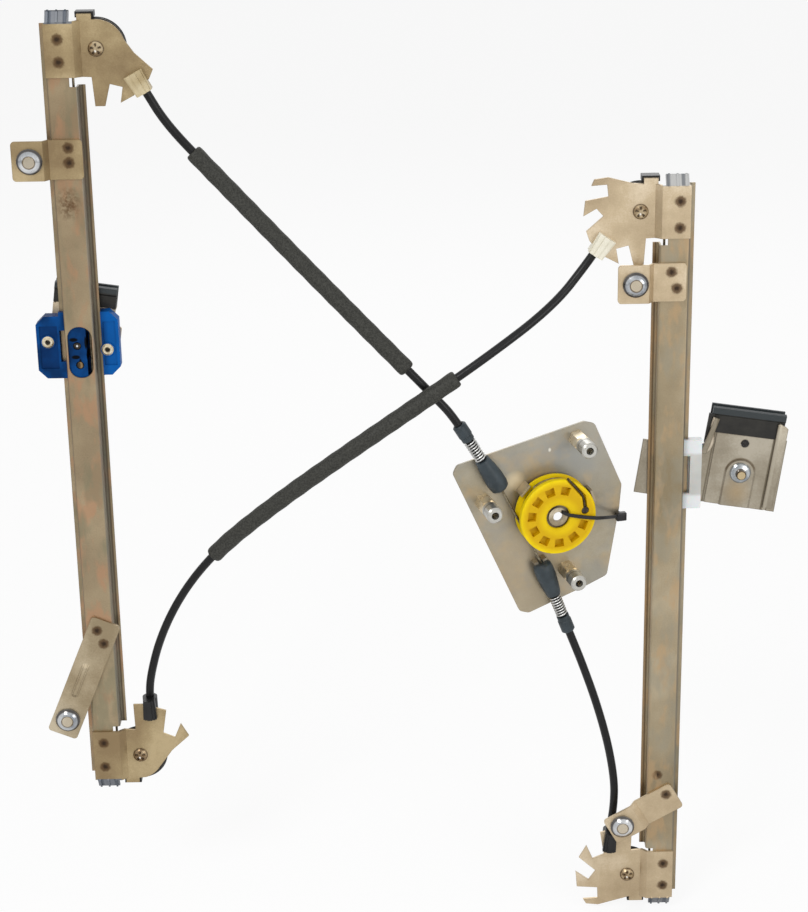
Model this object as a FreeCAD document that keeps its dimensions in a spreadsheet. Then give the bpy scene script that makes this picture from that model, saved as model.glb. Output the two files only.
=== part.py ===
"""Twin-rail cable window regulator for a car door, in millimetres.

The two rails stand upright, X runs from the left rail to the right one, Y runs away from the cabin
side and Z runs up. The origin is the left rail's upper mounting stud, on the face of its tab.
"""
import FreeCAD, Part
import math
import os
import re
import Sketcher
from FreeCAD import Placement, Rotation, Vector

SIZES = {
    # rails
    "left_rail_length": 512, "right_rail_length": 507, "rail_spacing": 378.2, "rail_drop": 103.7,
    "rail_width": 26, "web_width": 19, "rail_depth": 10, "rail_sheet": 1.2, "fold_radius": 1.6,
    "end_cut_length": 38, "slot_width": 15.5, "slot_length": 34, "slot_height": 48,
    # mounting tabs and their studs, measured from the rail's centre line and middle
    "tab_sheet": 1.5, "tab_step": 4, "tab_width": 25, "arm_width": 20.5, "tab_corner": 2.4,
    "left_upper_reach": 22.5, "left_upper_rise": 173.4, "left_lower_reach": 24.6,
    "left_lower_drop": 209.4, "right_upper_reach": 24.8, "right_upper_rise": 191.8,
    "right_lower_reach": 26.6, "right_lower_drop": 194.6,
    "stud_radius": 8.15, "stud_rim": 1.2, "stud_height": 4, "stud_flat": 3.9, "stud_shank": 4,
    # end brackets and pulleys
    "left_pulley_inset": 15, "right_pulley_inset": 16.4, "pulley_offset": 21.8,
    "pulley_pitch": 15.8, "pulley_rim": 18.3, "cable_diameter": 1.6, "cable_depth": 7.3,
    "bracket_sheet": 1.6, "bracket_recess": 2.4, "rivet_radius": 3, "rivet_head": 4.9,
    "end_tab_inset": 1.5, "end_tab_width": 14.5, "end_rib": 1.2,
    "hook_reach": 10.8, "hook_width": 9, "hook_depth": 7.5, "hook_gap": 1.2, "guard_wall": 1.2,
    # mouths of the conduit clips, outwards and inwards from the pulley, and the clips' slants
    "left_upper_out": 28.4, "left_upper_drop": 27.5, "left_upper_slant": 61,
    "left_lower_out": 8.2, "left_lower_rise": 42, "left_lower_slant": 91,
    "right_upper_out": 28.4, "right_upper_drop": 27.5, "right_upper_slant": 56,
    "right_lower_out": 11.8, "right_lower_rise": 33.5, "right_lower_slant": 95,
    "clip_radius": 5, "clip_length": 12, "clip_grip": 7,
    "upper_block_half": 6.2, "lower_block_half": 4.6, "block_depth": 4,
    # conduits and what is on them
    "conduit_diameter": 5.5, "liner_diameter": 2.4, "sleeve_diameter": 11, "ferrule_radius": 4.6,
    "ferrule_length": 12.5, "ferrule_grip": 8, "spring_radius": 4.1, "spring_wire": 1.1,
    "spring_length": 17.5, "spring_turns": 8.5, "fitting_radius": 6.6, "fitting_length": 25,
    "upper_fitting_x": -36.4, "upper_fitting_z": 20.4, "upper_fitting_turn": 121.1,
    "lower_fitting_x": -8.9, "lower_fitting_z": -34.9, "lower_fitting_turn": -69.1,
    # drum plate, drum and standoffs
    "plate_inset": 76.2, "plate_y": 13.5, "plate_z": -241.1, "plate_yaw": 14, "plate_sheet": 1.6,
    "plate_corner": 4, "lug_width": 9, "lug_height": 10, "prong_aside": 1.6, "prong_width": 2.9,
    "drum_radius": 25.7, "drum_pitch": 23, "drum_height": 16, "drum_lift": 2.4, "hub_mouth": 8,
    "groove_pitch": 2.5, "pocket_ring": 18.2, "pocket_width": 6.6, "pocket_height": 5.6,
    "pocket_depth": 4, "pocket_count": 11, "pocket_start": 75.6, "pockets": 9, "nipple_depth": 6,
    "lead_slot": 2.8, "lead_depth": 2.6,
    "pivot_radius": 13.4, "pivot_wall": 1, "pivot_height": 13.6, "pivot_bore": 3.3,
    "collar_radius": 6.5, "collar_height": 1.4, "peen": 1.2,
    "standoff_length": 27, "standoff_flats": 10.5, "standoff_base": 13.5, "standoff_collar": 5.4,
    "thread_radius": 2.5, "thread_depth": 16, "cable_height": 6.65,
    "tie_aside": 1.7, "tie_strap": 1.2, "tie_width": 2.4, "tie_reach": 48.2, "tie_gap": 0.4,
    # carriages
    "left_slider_rise": 51.4, "right_slider_rise": 59.5, "slider_half": 22, "slider_back": 3,
    "jaw_front": 5.2, "rail_gap": 0.4, "slider_left": 28.3, "slider_right": 24.5,
    "left_wing_top": 19.3, "right_wing_low": 20.2, "slider_corner": 5.5, "panel_depth": 0.7,
    "shoe_half": 23.8, "shoe_back": 1, "shoe_right": 21.8, "glass_tilt": 8.6,
    "left_ledge": 24.5, "left_rubber_height": 13.5, "left_rubber_half": 20,
    "right_ledge": 25.5, "right_rubber_height": 17.4, "right_rubber_left": 25.2,
    "right_rubber_right": 23.2, "rubber_depth": 10,
    "rivet_bore": 1.5, "pin_radius": 2, "emboss_height": 0.8, "emboss_radius": 10,
    "channel_width": 1.6, "strip_gap": 1.35,
    "clamp_x": 48.1, "clamp_drop": 1.4, "clamp_flange": 7, "clamp_shank": 3.3,
    "carrier_sheet": 1.5, "glass_gap": 4.6, "rubber_wall": 1.8, "nipple_radius": 2.6,
    # clearances
    "running_gap": 0.05, "body_gap": 0.35,
}

doc = FreeCAD.newDocument("window_regulator")
sheet = doc.addObject("Spreadsheet::Sheet", "Sizes")
for row, (alias, number) in enumerate(SIZES.items(), 1):
    sheet.set(f"A{row}", alias)
    sheet.set(f"B{row}", str(number))
    sheet.setAlias(f"B{row}", alias)
doc.recompute()

# places that several pieces share, as formulas of the sheet's sizes
WEB = "(tab_step + tab_sheet)"
LEFT = {"side": 1, "x": "left_upper_reach", "z": "(-left_upper_rise)",
        "length": "left_rail_length", "spacing": "(left_rail_length - left_pulley_inset * 2)"}
RIGHT = {"side": -1, "x": "(left_upper_reach + rail_spacing)", "z": "(-left_upper_rise - rail_drop)",
         "length": "right_rail_length", "spacing": "(right_rail_length - right_pulley_inset * 2)"}
CABLE_OFFSET = "(pulley_offset - pulley_pitch)"
PLATE_BACK = "(bracket_recess + bracket_sheet)"
HUB_HALF = "(cable_depth - bracket_recess - bracket_sheet)"
BAY_HALF = f"(sqrt(clip_radius ^ 2 - {HUB_HALF} ^ 2) + body_gap / 2)"
PLATE_X = "(left_upper_reach + rail_spacing - plate_inset)"
nodes = []


def formula(text):
    """The text with each size's name led by the sheet's."""
    return re.sub(r"[a-z][a-z_]+", lambda m: "Sizes." + m[0] if m[0] in SIZES else m[0], str(text))


def value(text):
    return float(sheet.evalExpression(formula(text)))


def tie(thing, place, text):
    """Bind a property of a thing to a formula of sizes."""
    thing.setExpression(place, formula(text))


def put(thing, x="0", y="0", z="0", axis=Vector(0, 0, 1), angle="0"):
    """Place a piece at formulas for its corner, turned about an axis."""
    thing.Placement = Placement(Vector(value(x), value(y), value(z)), Rotation(axis, value(angle)))
    for letter, text in zip("xyz", (x, y, z)):
        tie(thing, f"Placement.Base.{letter}", text)
    if value(angle):
        tie(thing, "Placement.Rotation.Angle", angle)


def on_plate(thing, x="0", height="0", z="0"):
    """Place a piece by its place on the drum plate's front face, turned with the plate."""
    put(thing,
        f"{PLATE_X} + ({x}) * cos(plate_yaw) + ({height}) * sin(plate_yaw)",
        f"plate_y + ({x}) * sin(plate_yaw) - ({height}) * cos(plate_yaw)",
        f"plate_z + ({z})", angle="plate_yaw")


def keep(thing, name):
    """Name a finished piece and add it to those that are written."""
    thing.Label = name
    nodes.append(thing)
    return thing


def new_body(name):
    return doc.addObject("PartDesign::Body", name)


def new_sketch(body, plane, offset="0"):
    """A sketch on one of the body's origin planes, moved along its normal."""
    sketch = body.newObject("Sketcher::SketchObject", body.Name + "_sketch")
    base = next(f for f in body.Origin.OriginFeatures if f.Role == plane)
    sketch.AttachmentSupport = (base, [""])
    sketch.MapMode = "FlatFace"
    if offset != "0":
        sketch.AttachmentOffset = Placement(Vector(0, 0, value(offset)), Rotation())
        tie(sketch, "AttachmentOffset.Base.z", offset)
    return sketch


def outline(sketch, corners):
    """A closed outline through corners given by formulas. A third entry in a corner is the radius
    of the arc that leaves it, positive where the arc bulges to the left of its run."""
    points = [Vector(value(c[0]), value(c[1]), 0) for c in corners]
    sides = []
    for i, corner in enumerate(corners):
        a, b = points[i], points[(i + 1) % len(points)]
        if len(corner) == 2:
            sides.append((sketch.addGeometry(Part.LineSegment(a, b)), 1, 2))
            continue
        radius = value(corner[2])
        left = Vector(a.y - b.y, b.x - a.x, 0).normalize() * math.copysign(1, radius)
        depth = math.sqrt(max(radius * radius - (b - a).Length ** 2 / 4, 0))
        centre = (a + b) / 2 - left * depth
        forward = radius < 0
        first, last = (a, b) if forward else (b, a)
        turns = [math.atan2(p.y - centre.y, p.x - centre.x) for p in (first, last)]
        turns[1] += 2 * math.pi if turns[1] < turns[0] else 0
        round_side = Part.Circle(centre, Vector(0, 0, 1), abs(radius))
        index = sketch.addGeometry(Part.ArcOfCircle(round_side, *turns))
        sides.append((index, 1, 2) if forward else (index, 2, 1))
        turn = sketch.addConstraint(Sketcher.Constraint("Radius", index, abs(radius)))
        tie(sketch, f"Constraints[{turn}]", f"abs({corner[2]})")
    for i, (index, start, end) in enumerate(sides):
        follower = sides[(i + 1) % len(sides)]
        sketch.addConstraint(Sketcher.Constraint("Coincident", index, end, follower[0], follower[1]))
        for kind, text in (("DistanceX", corners[i][0]), ("DistanceY", corners[i][1])):
            pin = sketch.addConstraint(Sketcher.Constraint(kind, -1, 1, index, start, value(text)))
            tie(sketch, f"Constraints[{pin}]", text)


def circle(sketch, x, y, radius):
    index = sketch.addGeometry(Part.Circle(Vector(value(x), value(y), 0), Vector(0, 0, 1), value(radius)))
    for kind, text in (("DistanceX", x), ("DistanceY", y)):
        pin = sketch.addConstraint(Sketcher.Constraint(kind, -1, 1, index, 3, value(text)))
        tie(sketch, f"Constraints[{pin}]", text)
    size = sketch.addConstraint(Sketcher.Constraint("Radius", index, value(radius)))
    tie(sketch, f"Constraints[{size}]", radius)


def rectangle(x0, x1, y0, y1):
    return [(x0, y0), (x1, y0), (x1, y1), (x0, y1)]


def rounded(x0, x1, y0, y1, radius):
    """A rectangle with round corners, run anticlockwise."""
    r = f"({radius})"
    return [(f"{x0} + {r}", y0), (f"{x1} - {r}", y0, f"-{r}"), (x1, f"{y0} + {r}"),
            (x1, f"{y1} - {r}", f"-{r}"), (f"{x1} - {r}", y1), (f"{x0} + {r}", y1, f"-{r}"),
            (x0, f"{y1} - {r}"), (x0, f"{y0} + {r}", f"-{r}")]


def pad(body, sketch, length):
    """Thicken a sketch along its normal."""
    feature = body.newObject("PartDesign::Pad", body.Name + "_pad")
    feature.Profile = sketch
    feature.Length = value(length)
    tie(feature, "Length", length)
    doc.recompute()
    return feature


def slab(body, corners, front, back, plane="XZ_Plane"):
    """A flat plate whose front and back faces lie at two depths."""
    sketch = new_sketch(body, plane, f"-({back})")
    outline(sketch, corners)
    return pad(body, sketch, f"({back}) - ({front})")


def cut(body, sketch, depth):
    """Cut a sketch into the body against its normal, and make sure that something was cut."""
    before = body.Shape.Volume
    feature = body.newObject("PartDesign::Pocket", body.Name + "_pocket")
    feature.Profile = sketch
    feature.Length = value(depth)
    tie(feature, "Length", depth)
    doc.recompute()
    if body.Shape.Volume > before - 1e-3:
        raise ValueError(f"a pocket in {body.Name} cuts nothing")
    return feature


def window(body, corners, front, back):
    """Cut an outline through the depths between front and back."""
    sketch = new_sketch(body, "XZ_Plane", f"-({front})")
    outline(sketch, corners)
    return cut(body, sketch, f"({back}) - ({front})")


def drill(body, x, z, radius, front, back):
    sketch = new_sketch(body, "XZ_Plane", f"-({front})")
    circle(sketch, x, z, radius)
    return cut(body, sketch, f"({back}) - ({front})")


def turned(name, profile):
    """A body turned about its own Y axis from a profile of radii and depths."""
    body = new_body(name)
    sketch = new_sketch(body, "XY_Plane")
    outline(sketch, profile)
    feature = body.newObject("PartDesign::Revolution", name + "_turn")
    feature.Profile = sketch
    feature.ReferenceAxis = (sketch, ["V_Axis"])
    feature.Angle = 360
    doc.recompute()
    return body


def group(name, members):
    """Identical pieces in one node, each a solid of its own."""
    compound = doc.addObject("Part::Compound", name)
    compound.Links = members
    return keep(compound, name)


def round_edges(body, radius, chosen):
    """Round the straight edges that a test picks."""
    feature = body.Tip
    names = [f"Edge{i}" for i, edge in enumerate(feature.Shape.Edges, 1) if chosen(edge)]
    if not names:
        return
    fillet = body.newObject("PartDesign::Fillet", body.Name + "_fillet")
    fillet.Base = (feature, names)
    fillet.Radius = value(radius)
    tie(fillet, "Radius", radius)
    doc.recompute()


def straight_along(axis):
    """A test for straight edges that run along an axis."""
    def test(edge):
        ends = edge.Vertexes
        if len(ends) != 2 or edge.Curve.TypeId != "Part::GeomLine":
            return False
        run = ends[1].Point - ends[0].Point
        return run.Length > 0 and abs(run.normalize().dot(axis)) > 0.999
    return test


# rails

def make_rail(rail, name):
    """A hat-section rail: web in front, side walls going back and a lip at each side, with the
    pulley side cut away at both ends."""
    body = new_body(name)
    wall, lip = "web_width / 2", "rail_width / 2"
    inner = "(web_width / 2 - rail_sheet)"
    shoulder = "(rail_depth - rail_sheet)"
    profile = [(f"-{lip}", "rail_depth"), (f"-{lip}", shoulder), (f"-{wall}", shoulder),
               (f"-{wall}", "0"), (wall, "0"), (wall, shoulder), (lip, shoulder),
               (lip, "rail_depth"), (inner, "rail_depth"), (inner, "rail_sheet"),
               (f"-{inner}", "rail_sheet"), (f"-{inner}", "rail_depth")]
    sketch = new_sketch(body, "XY_Plane", f"-{rail['length']} / 2")
    outline(sketch, profile)
    pad(body, sketch, rail["length"])
    half_web = value(wall)

    def fold(edge):
        corner = edge.Vertexes[0].Point
        return straight_along(Vector(0, 0, 1))(edge) and abs(corner.y) < 1e-6 and \
            abs(abs(corner.x) - half_web) < 1e-6

    round_edges(body, "fold_radius", fold)
    side = rail["side"]
    edge = f"{side} * ({CABLE_OFFSET} - cable_diameter)"
    beyond = f"{side} * rail_width"
    end = f"{rail['length']} / 2"
    for sign in (1, -1):
        low, high = f"{sign} * ({end} - end_cut_length)", f"{sign} * ({end} + rail_sheet)"
        window(body, rectangle(edge, beyond, low, high), "-rail_sheet", "rail_depth + rail_sheet")
    put(body, rail["x"], WEB, rail["z"])
    return keep(body, name)


left_rail = make_rail(LEFT, "left_rail")
right_rail = make_rail(RIGHT, "right_rail")
window(left_rail, rounded("-slot_width / 2", "slot_width / 2", "slot_height - slot_length / 2",
                          "slot_height + slot_length / 2", "slot_width * 0.48"),
       "-rail_sheet", "rail_sheet * 2")


# end brackets: outlines of the recessed plate, outwards from the pulley and towards the rail's end

RAIL_EDGE = "-(pulley_offset + web_width / 2)"
UPPER_PLAIN = [(34, -13.3), (23, -3), (17.4, 5, -18.2), (-2.2, 17.6)]
UPPER_COMB = [(31.9, -18.4), (34, -12.3), (23.2, -2.7), (27.7, 2.2), (35.8, -2.5), (34.8, 7.2),
              (20.3, 9.8), (21.2, 17.5), (31, 16.8), (29.3, 20.8), (20.5, 22), (5.1, 18), (-2.2, 17.6)]
UPPER_TEETH = [(-12, -17), (-3.7, -17.4), (-2.5, -35.4), (3.6, -35.4), (7.1, -21.8), (14.9, -23.8),
               (13.2, -33.5), (21.5, -29.2), (31.4, -19)]
LOWER_TEETH = [(-12, -19.7), (-2.3, -18.8), (-2.8, -38), (3.4, -38), (19.2, -33), (16.5, -16),
               (24.2, -12.6), (28.6, -23), (33.7, -13.8), (22, -3.2)]
LOWER_PLAIN = [(12.3, 10, -18.2), (3, 17.2), (-2.2, 17.6)]
LOWER_COMB = [(26.9, 4.1), (36, -2.7), (35, 9.2), (20.7, 10.2), (20.3, 18.8), (30.5, 19.4),
              (28.4, 23), (20, 23.9), (-2.2, 17.6)]
CROWN = "(pulley_rim + hook_gap)"
JOGGLE_START = "(-pulley_offset + web_width / 2 - fold_radius / 2)"


def from_side(side, near, width):
    """The lower X of a strip that starts some way outwards, on a rail of either hand."""
    return near if side > 0 else f"-({near}) - ({width})"


def make_bracket(rail, level, teeth, outer, name):
    """A joggled plate: one part lies on the rail's web, the other carries the pulley behind it,
    with a tab at the rail's end and a hook tab over the pulley."""
    side, sheet_text = rail["side"], "bracket_sheet"
    body = new_body(name)
    reach = max(c[0] for c in teeth + outer) + 2
    low = min(c[1] for c in teeth + outer) - 2
    high = max(c[1] for c in teeth + outer) + 2
    # the strip seen from the end, before its outline is cut
    start, finish = JOGGLE_START, f"({JOGGLE_START} + bracket_recess + bracket_sheet)"
    edge = f"({RAIL_EDGE})"
    strip = [(edge, f"-{sheet_text}"), (start, f"-{sheet_text}"), (finish, "bracket_recess"),
             (str(reach), "bracket_recess"), (str(reach), PLATE_BACK),
             (f"{finish} - bracket_sheet * 0.6", PLATE_BACK), (f"{start} - bracket_sheet * 0.6", "0"),
             (edge, "0")]
    strip = [(f"{side} * ({x})", y) for x, y in strip]
    sketch = new_sketch(body, "XY_Plane", f"{min(level * low, level * high)}")
    outline(sketch, strip)
    pad(body, sketch, f"{high - low}")
    # everything outside the outline goes
    sketch = new_sketch(body, "XZ_Plane", "bracket_sheet + 1")
    rim = rectangle(f"{RAIL_EDGE} - 3", str(reach + 1), str(low - 1), str(high + 1))
    shape = [(f"{RAIL_EDGE}", str(teeth[0][1]))] + [(str(c[0]), str(c[1])) for c in teeth]
    shape += [tuple(str(v) for v in c) for c in outer] + [(f"{RAIL_EDGE}", str(outer[-1][1] - 1))]
    for loop in (rim, shape):
        loop = [(f"{side} * ({c[0]})", f"{level} * ({c[1]})") +
                ((f"{side * level} * ({c[2]})",) if len(c) > 2 else ()) for c in loop]
        outline(sketch, loop)
    cut(body, sketch, f"bracket_sheet + 2 + {PLATE_BACK}")
    drill(body, "0", "0", "rivet_radius", "0", "rail_depth")
    # the tab that closes the rail's end leans back, and the hook tab goes back over the pulley
    near = f"{RAIL_EDGE} + end_tab_inset"
    sketch = new_sketch(body, "YZ_Plane", from_side(side, near, "end_tab_width"))
    edge_z = str(outer[-1][1] - 1)
    outline(sketch, [(y, f"{level} * ({z})") for y, z in (
        ("-bracket_sheet", f"{edge_z} - 2"), ("-bracket_sheet", edge_z),
        ("3", f"{edge_z} + 7"), ("4.4", f"{edge_z} + 6.2"), ("0", f"{edge_z} - 0.6"),
        ("0", f"{edge_z} - 2"))])
    pad(body, sketch, "end_tab_width")
    for share in (0.08, 0.46, 0.83):
        start = f"{near} + end_tab_width * {share}"
        rib = new_sketch(body, "YZ_Plane", from_side(side, start, "end_rib"))
        outline(rib, [(y, f"{level} * ({z})") for y, z in (
            ("-bracket_sheet", f"{edge_z} - 0.6"), ("-bracket_sheet - 0.5", f"{edge_z} + 0.4"),
            ("2.3", f"{edge_z} + 7.5"), ("3", f"{edge_z} + 7"))])
        pad(body, rib, "end_rib")
    sketch = new_sketch(body, "YZ_Plane", from_side(side, "-hook_reach", "hook_width"))
    outline(sketch, [(y, f"{level} * ({z})") for y, z in (
        ("bracket_recess", "pulley_rim - 4.7"), ("bracket_recess", f"{CROWN} + bracket_sheet"),
        (f"{PLATE_BACK} + hook_depth", f"{CROWN} + bracket_sheet"),
        (f"{PLATE_BACK} + hook_depth", CROWN), (PLATE_BACK, CROWN), (PLATE_BACK, "pulley_rim - 4.7"))])
    pad(body, sketch, "hook_width")
    put(body, f"{rail['x']} + {side} * pulley_offset", WEB, f"{rail['z']} + {level} * {rail['spacing']} / 2")
    return keep(body, name)


ENDS = (
    ("left_upper", LEFT, 1, UPPER_TEETH, UPPER_PLAIN, "left_upper_drop"),
    ("left_lower", LEFT, -1, LOWER_TEETH, LOWER_PLAIN, "left_lower_rise"),
    ("right_upper", RIGHT, 1, UPPER_TEETH, UPPER_COMB, "right_upper_drop"),
    ("right_lower", RIGHT, -1, LOWER_TEETH, LOWER_COMB, "right_lower_rise"),
)


def clip_point(end_name, drop, along, aside="0"):
    """A point on a conduit clip's axis, from its mouth on, outwards and towards the rail's end."""
    slant = end_name + "_slant"
    u = f"{end_name}_out + ({along}) * cos({slant}) + ({aside}) * sin({slant})"
    w = f"-{drop} - ({along}) * sin({slant}) + ({aside}) * cos({slant})"
    return u, w


def end_place(rail, level):
    """Where an end's pulley axis meets the web's front plane."""
    return (f"{rail['x']} + {rail['side']} * pulley_offset", WEB,
            f"{rail['z']} + {level} * {rail['spacing']} / 2")


for end_name, rail, level, teeth, outer, drop in ENDS:
    bracket = make_bracket(rail, level, teeth, outer, end_name + "_bracket")
    corners = [clip_point(end_name, drop, along, aside) for along, aside in (
        ("-clip_length", f"-{BAY_HALF}"), ("8", f"-{BAY_HALF}"),
        ("8", BAY_HALF), ("-clip_length", BAY_HALF))]
    corners = [(f"{rail['side']} * ({u})", f"{level} * ({w})") for u, w in corners]
    window(bracket, corners, "bracket_recess - 1", "rail_depth")

# pulleys turn on rivets that clamp nothing but the bracket

RIVET_PROFILE = [("0", f"{HUB_HALF} * 2 + {PLATE_BACK} + 1.4"), ("0", "bracket_recess - 2"),
                 ("rivet_head - 1.6", "bracket_recess - 2"), ("rivet_head", "bracket_recess - 0.6"),
                 ("rivet_head", "bracket_recess"), ("rivet_radius", "bracket_recess"),
                 ("rivet_radius", f"{HUB_HALF} * 2 + {PLATE_BACK} + 0.1"),
                 ("rivet_head + 0.4", f"{HUB_HALF} * 2 + {PLATE_BACK} + 0.1"),
                 ("rivet_head + 0.4", f"{HUB_HALF} * 2 + {PLATE_BACK} + 1.4")]
FLOOR = "(pulley_pitch - cable_diameter / 2 - body_gap)"
rivets = []
for end_name, rail, level, teeth, outer, drop in ENDS:
    place = end_place(rail, level)
    rivet = turned(end_name + "_rivet", RIVET_PROFILE)
    for k in range(5):
        drill(rivet, f"rivet_head * 0.5 * cos({72 * k + 20})", f"rivet_head * 0.5 * sin({72 * k + 20})",
              "rivet_head * 0.2", "bracket_recess - 3", "bracket_recess - 1.2")
    put(rivet, *place)
    rivets.append(rivet)
    face = f"({PLATE_BACK} + 0.05)"
    back = f"({PLATE_BACK} + {HUB_HALF} * 2)"
    pulley = turned(end_name + "_pulley", [
        ("rivet_radius + running_gap", face), ("rivet_radius + 3", face),
        ("rivet_radius + 3", "cable_depth - 1.6"), (f"{FLOOR} - 2.4", "cable_depth - 1.6"),
        (f"{FLOOR} - 2.4", "cable_depth - 2.7"), ("pulley_rim", "cable_depth - 2.7"),
        ("pulley_rim", "cable_depth - 2.2"), (FLOOR, "cable_depth - 0.9"),
        (FLOOR, "cable_depth + 0.9"), ("pulley_rim", "cable_depth + 2.2"),
        ("pulley_rim", "cable_depth + 2.7"), (f"{FLOOR} - 2.4", "cable_depth + 2.7"),
        (f"{FLOOR} - 2.4", "cable_depth + 1.6"), ("rivet_radius + 3", "cable_depth + 1.6"),
        ("rivet_radius + 3", back), ("rivet_radius + running_gap", back)])
    put(pulley, *place)
    keep(pulley, end_name + "_pulley")
group("pulley_rivets", rivets)

# black caps on the hook tabs keep the cable in its pulley

for end_name, rail, level, teeth, outer, drop in ENDS:
    guard = new_body(end_name + "_guard")
    start = from_side(rail["side"], "-hook_reach", "hook_width")
    end = f"{start} + hook_width"
    front, back = f"({PLATE_BACK} + 0.6)", f"({PLATE_BACK} + hook_depth + guard_wall)"
    slab(guard, [(x, f"{level} * ({z})") for x, z in rectangle(
        f"{start} - guard_wall", f"{end} + guard_wall", f"{CROWN} - hook_gap * 0.65",
        f"{CROWN} + bracket_sheet + guard_wall")], front, back)
    window(guard, [(x, f"{level} * ({z})") for x, z in rectangle(
        start, end, CROWN, f"{CROWN} + bracket_sheet")], front, f"{PLATE_BACK} + hook_depth")
    put(guard, *end_place(rail, level))
    keep(guard, end_name + "_cable_guard")

# clips snap into the brackets' bays and take the conduits' ends

for end_name, rail, level, teeth, outer, drop in ENDS:
    side = rail["side"]
    grip = "clip_length - clip_grip"
    clip = turned(end_name + "_clip", [
        ("clip_radius * 0.55", "0"), ("clip_radius * 0.8", "0"), ("clip_radius", "3"),
        ("clip_radius", "clip_length"), ("conduit_diameter / 2 + running_gap", "clip_length"),
        ("conduit_diameter / 2 + running_gap", grip), ("cable_diameter / 2 + 0.4", grip)])
    # a neck through the bay and a front lip hold the plate between them and the collar
    depth = f"(cable_depth - {PLATE_BACK})"
    neck = new_sketch(clip, "YZ_Plane", f"-{BAY_HALF} + running_gap")
    outline(neck, [("clip_length * 0.3", f"{depth} - 0.1"), ("clip_length", f"{depth} - 0.1"),
                   ("clip_length", "cable_depth - bracket_recess + 0.1"),
                   ("clip_length * 0.3", "cable_depth - bracket_recess + 0.1")])
    pad(clip, neck, f"{BAY_HALF} * 2 - running_gap * 2")
    half = "upper_block_half" if level > 0 else "lower_block_half"
    for inset, depth in (("0", "block_depth - 1"), ("1", "block_depth"),
                         (f"({half} - 1.7)", "block_depth + 0.8")):
        block = new_sketch(clip, "XY_Plane", "cable_depth - bracket_recess + 0.1")
        outline(block, [(f"-{half} + {inset}", "-2"), (f"{half} - {inset}", "-2"),
                        (f"({half} - {inset}) * 0.85", "clip_length"),
                        (f"-({half} - {inset}) * 0.85", "clip_length")])
        pad(clip, block, depth)
    u, w = clip_point(end_name, drop, "-clip_length")
    x, _, z = end_place(rail, level)
    slant = math.radians(value(end_name + "_slant"))
    along = Vector(side * math.cos(slant), 0, -level * math.sin(slant))
    outward = Vector(0, -1, 0)
    clip.Placement = Placement(Vector(), Rotation(along.cross(outward), along, outward, "XYZ"))
    tie(clip, "Placement.Base.x", f"{x} + {side} * ({u})")
    tie(clip, "Placement.Base.y", f"{WEB} + cable_depth")
    tie(clip, "Placement.Base.z", f"{z} + {level} * ({w})")
    keep(clip, end_name + "_conduit_clip")


# stepped tabs welded on the webs carry the mounting studs

TABS = (
    # name, place from the left rail's stud, turn, width, ends of the flap, of the step and the tip
    ("left_upper_mount_tab", "0", "0", "0", "tab_width", (-11.2, 8.6, 11.6, 32.5)),
    ("left_lower_mount_arm", "left_upper_reach - left_lower_reach",
     "-left_upper_rise - left_lower_drop", "-67", "arm_width", (-12, 11.4, 44.6, 76)),
    ("right_upper_mount_tab", "left_upper_reach + rail_spacing - right_upper_reach",
     "-left_upper_rise - rail_drop + right_upper_rise", "0", "tab_width", (-11.2, 8.6, 11.6, 32.5)),
    ("right_lower_mount_tab", "left_upper_reach + rail_spacing - right_lower_reach",
     "-left_upper_rise - rail_drop - right_lower_drop", "-30", "arm_width", (-9.5, 12.5, 16, 43)),
)
RIB_MIDDLE = 2
studs = []
for name, x, z, turn, width, (flap, bend, landing, tip) in TABS:
    tab = new_body(name)
    sketch = new_sketch(tab, "XY_Plane", f"-{width} / 2")
    outline(sketch, [(str(flap), "0"), (str(bend), "0"), (str(landing), "tab_step"),
                     (str(tip), "tab_step"), (str(tip), WEB), (f"{landing} - 0.6", WEB),
                     (f"{bend} - 0.6", "tab_sheet"), (str(flap), "tab_sheet")])
    pad(tab, sketch, width)
    round_edges(tab, "tab_corner", straight_along(Vector(0, 1, 0)))
    drill(tab, "0", "0", "stud_shank + running_gap", "-1", "tab_sheet + 1")
    if landing - bend > tip - landing:
        # a pressed rib stiffens the long slope
        slope = f"tab_step / {landing - bend}"
        for half, height in ((2.2, 0.8), (1.1, 1.4)):
            rib = new_sketch(tab, "XY_Plane", f"{RIB_MIDDLE} - {half}")
            outline(rib, [(str(x), f"({x - bend}) * {slope} - {rise}") for x, rise in (
                (bend + 5, -0.4), (bend + 8, height), (landing - 5, height), (landing - 2, -0.4))])
            pad(tab, rib, str(half * 2))
    put(tab, x, "0", z, Vector(0, 1, 0), turn)
    keep(tab, name)
    stud = turned(name + "_stud", [
        ("0", "-stud_height + 0.6"), ("stud_flat - 0.5", "-stud_height + 0.6"),
        ("stud_flat", "-stud_height"), ("stud_flat + 1.6", "-stud_height + 0.4"),
        ("stud_radius - 0.8", "-stud_rim - 0.9"), ("stud_radius", "-stud_rim"), ("stud_radius", "0"),
        ("stud_shank", "0"), ("stud_shank", "tab_sheet"), ("stud_shank + 1.8", "tab_sheet"),
        ("stud_shank + 1.2", "tab_sheet + 1.2"), ("0", "tab_sheet + 1.2")])
    put(stud, x, "0", z)
    studs.append(stud)
group("mounting_studs", studs)

# drum plate, turned about the upright axis, with lugs bent forward round the drum

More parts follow.
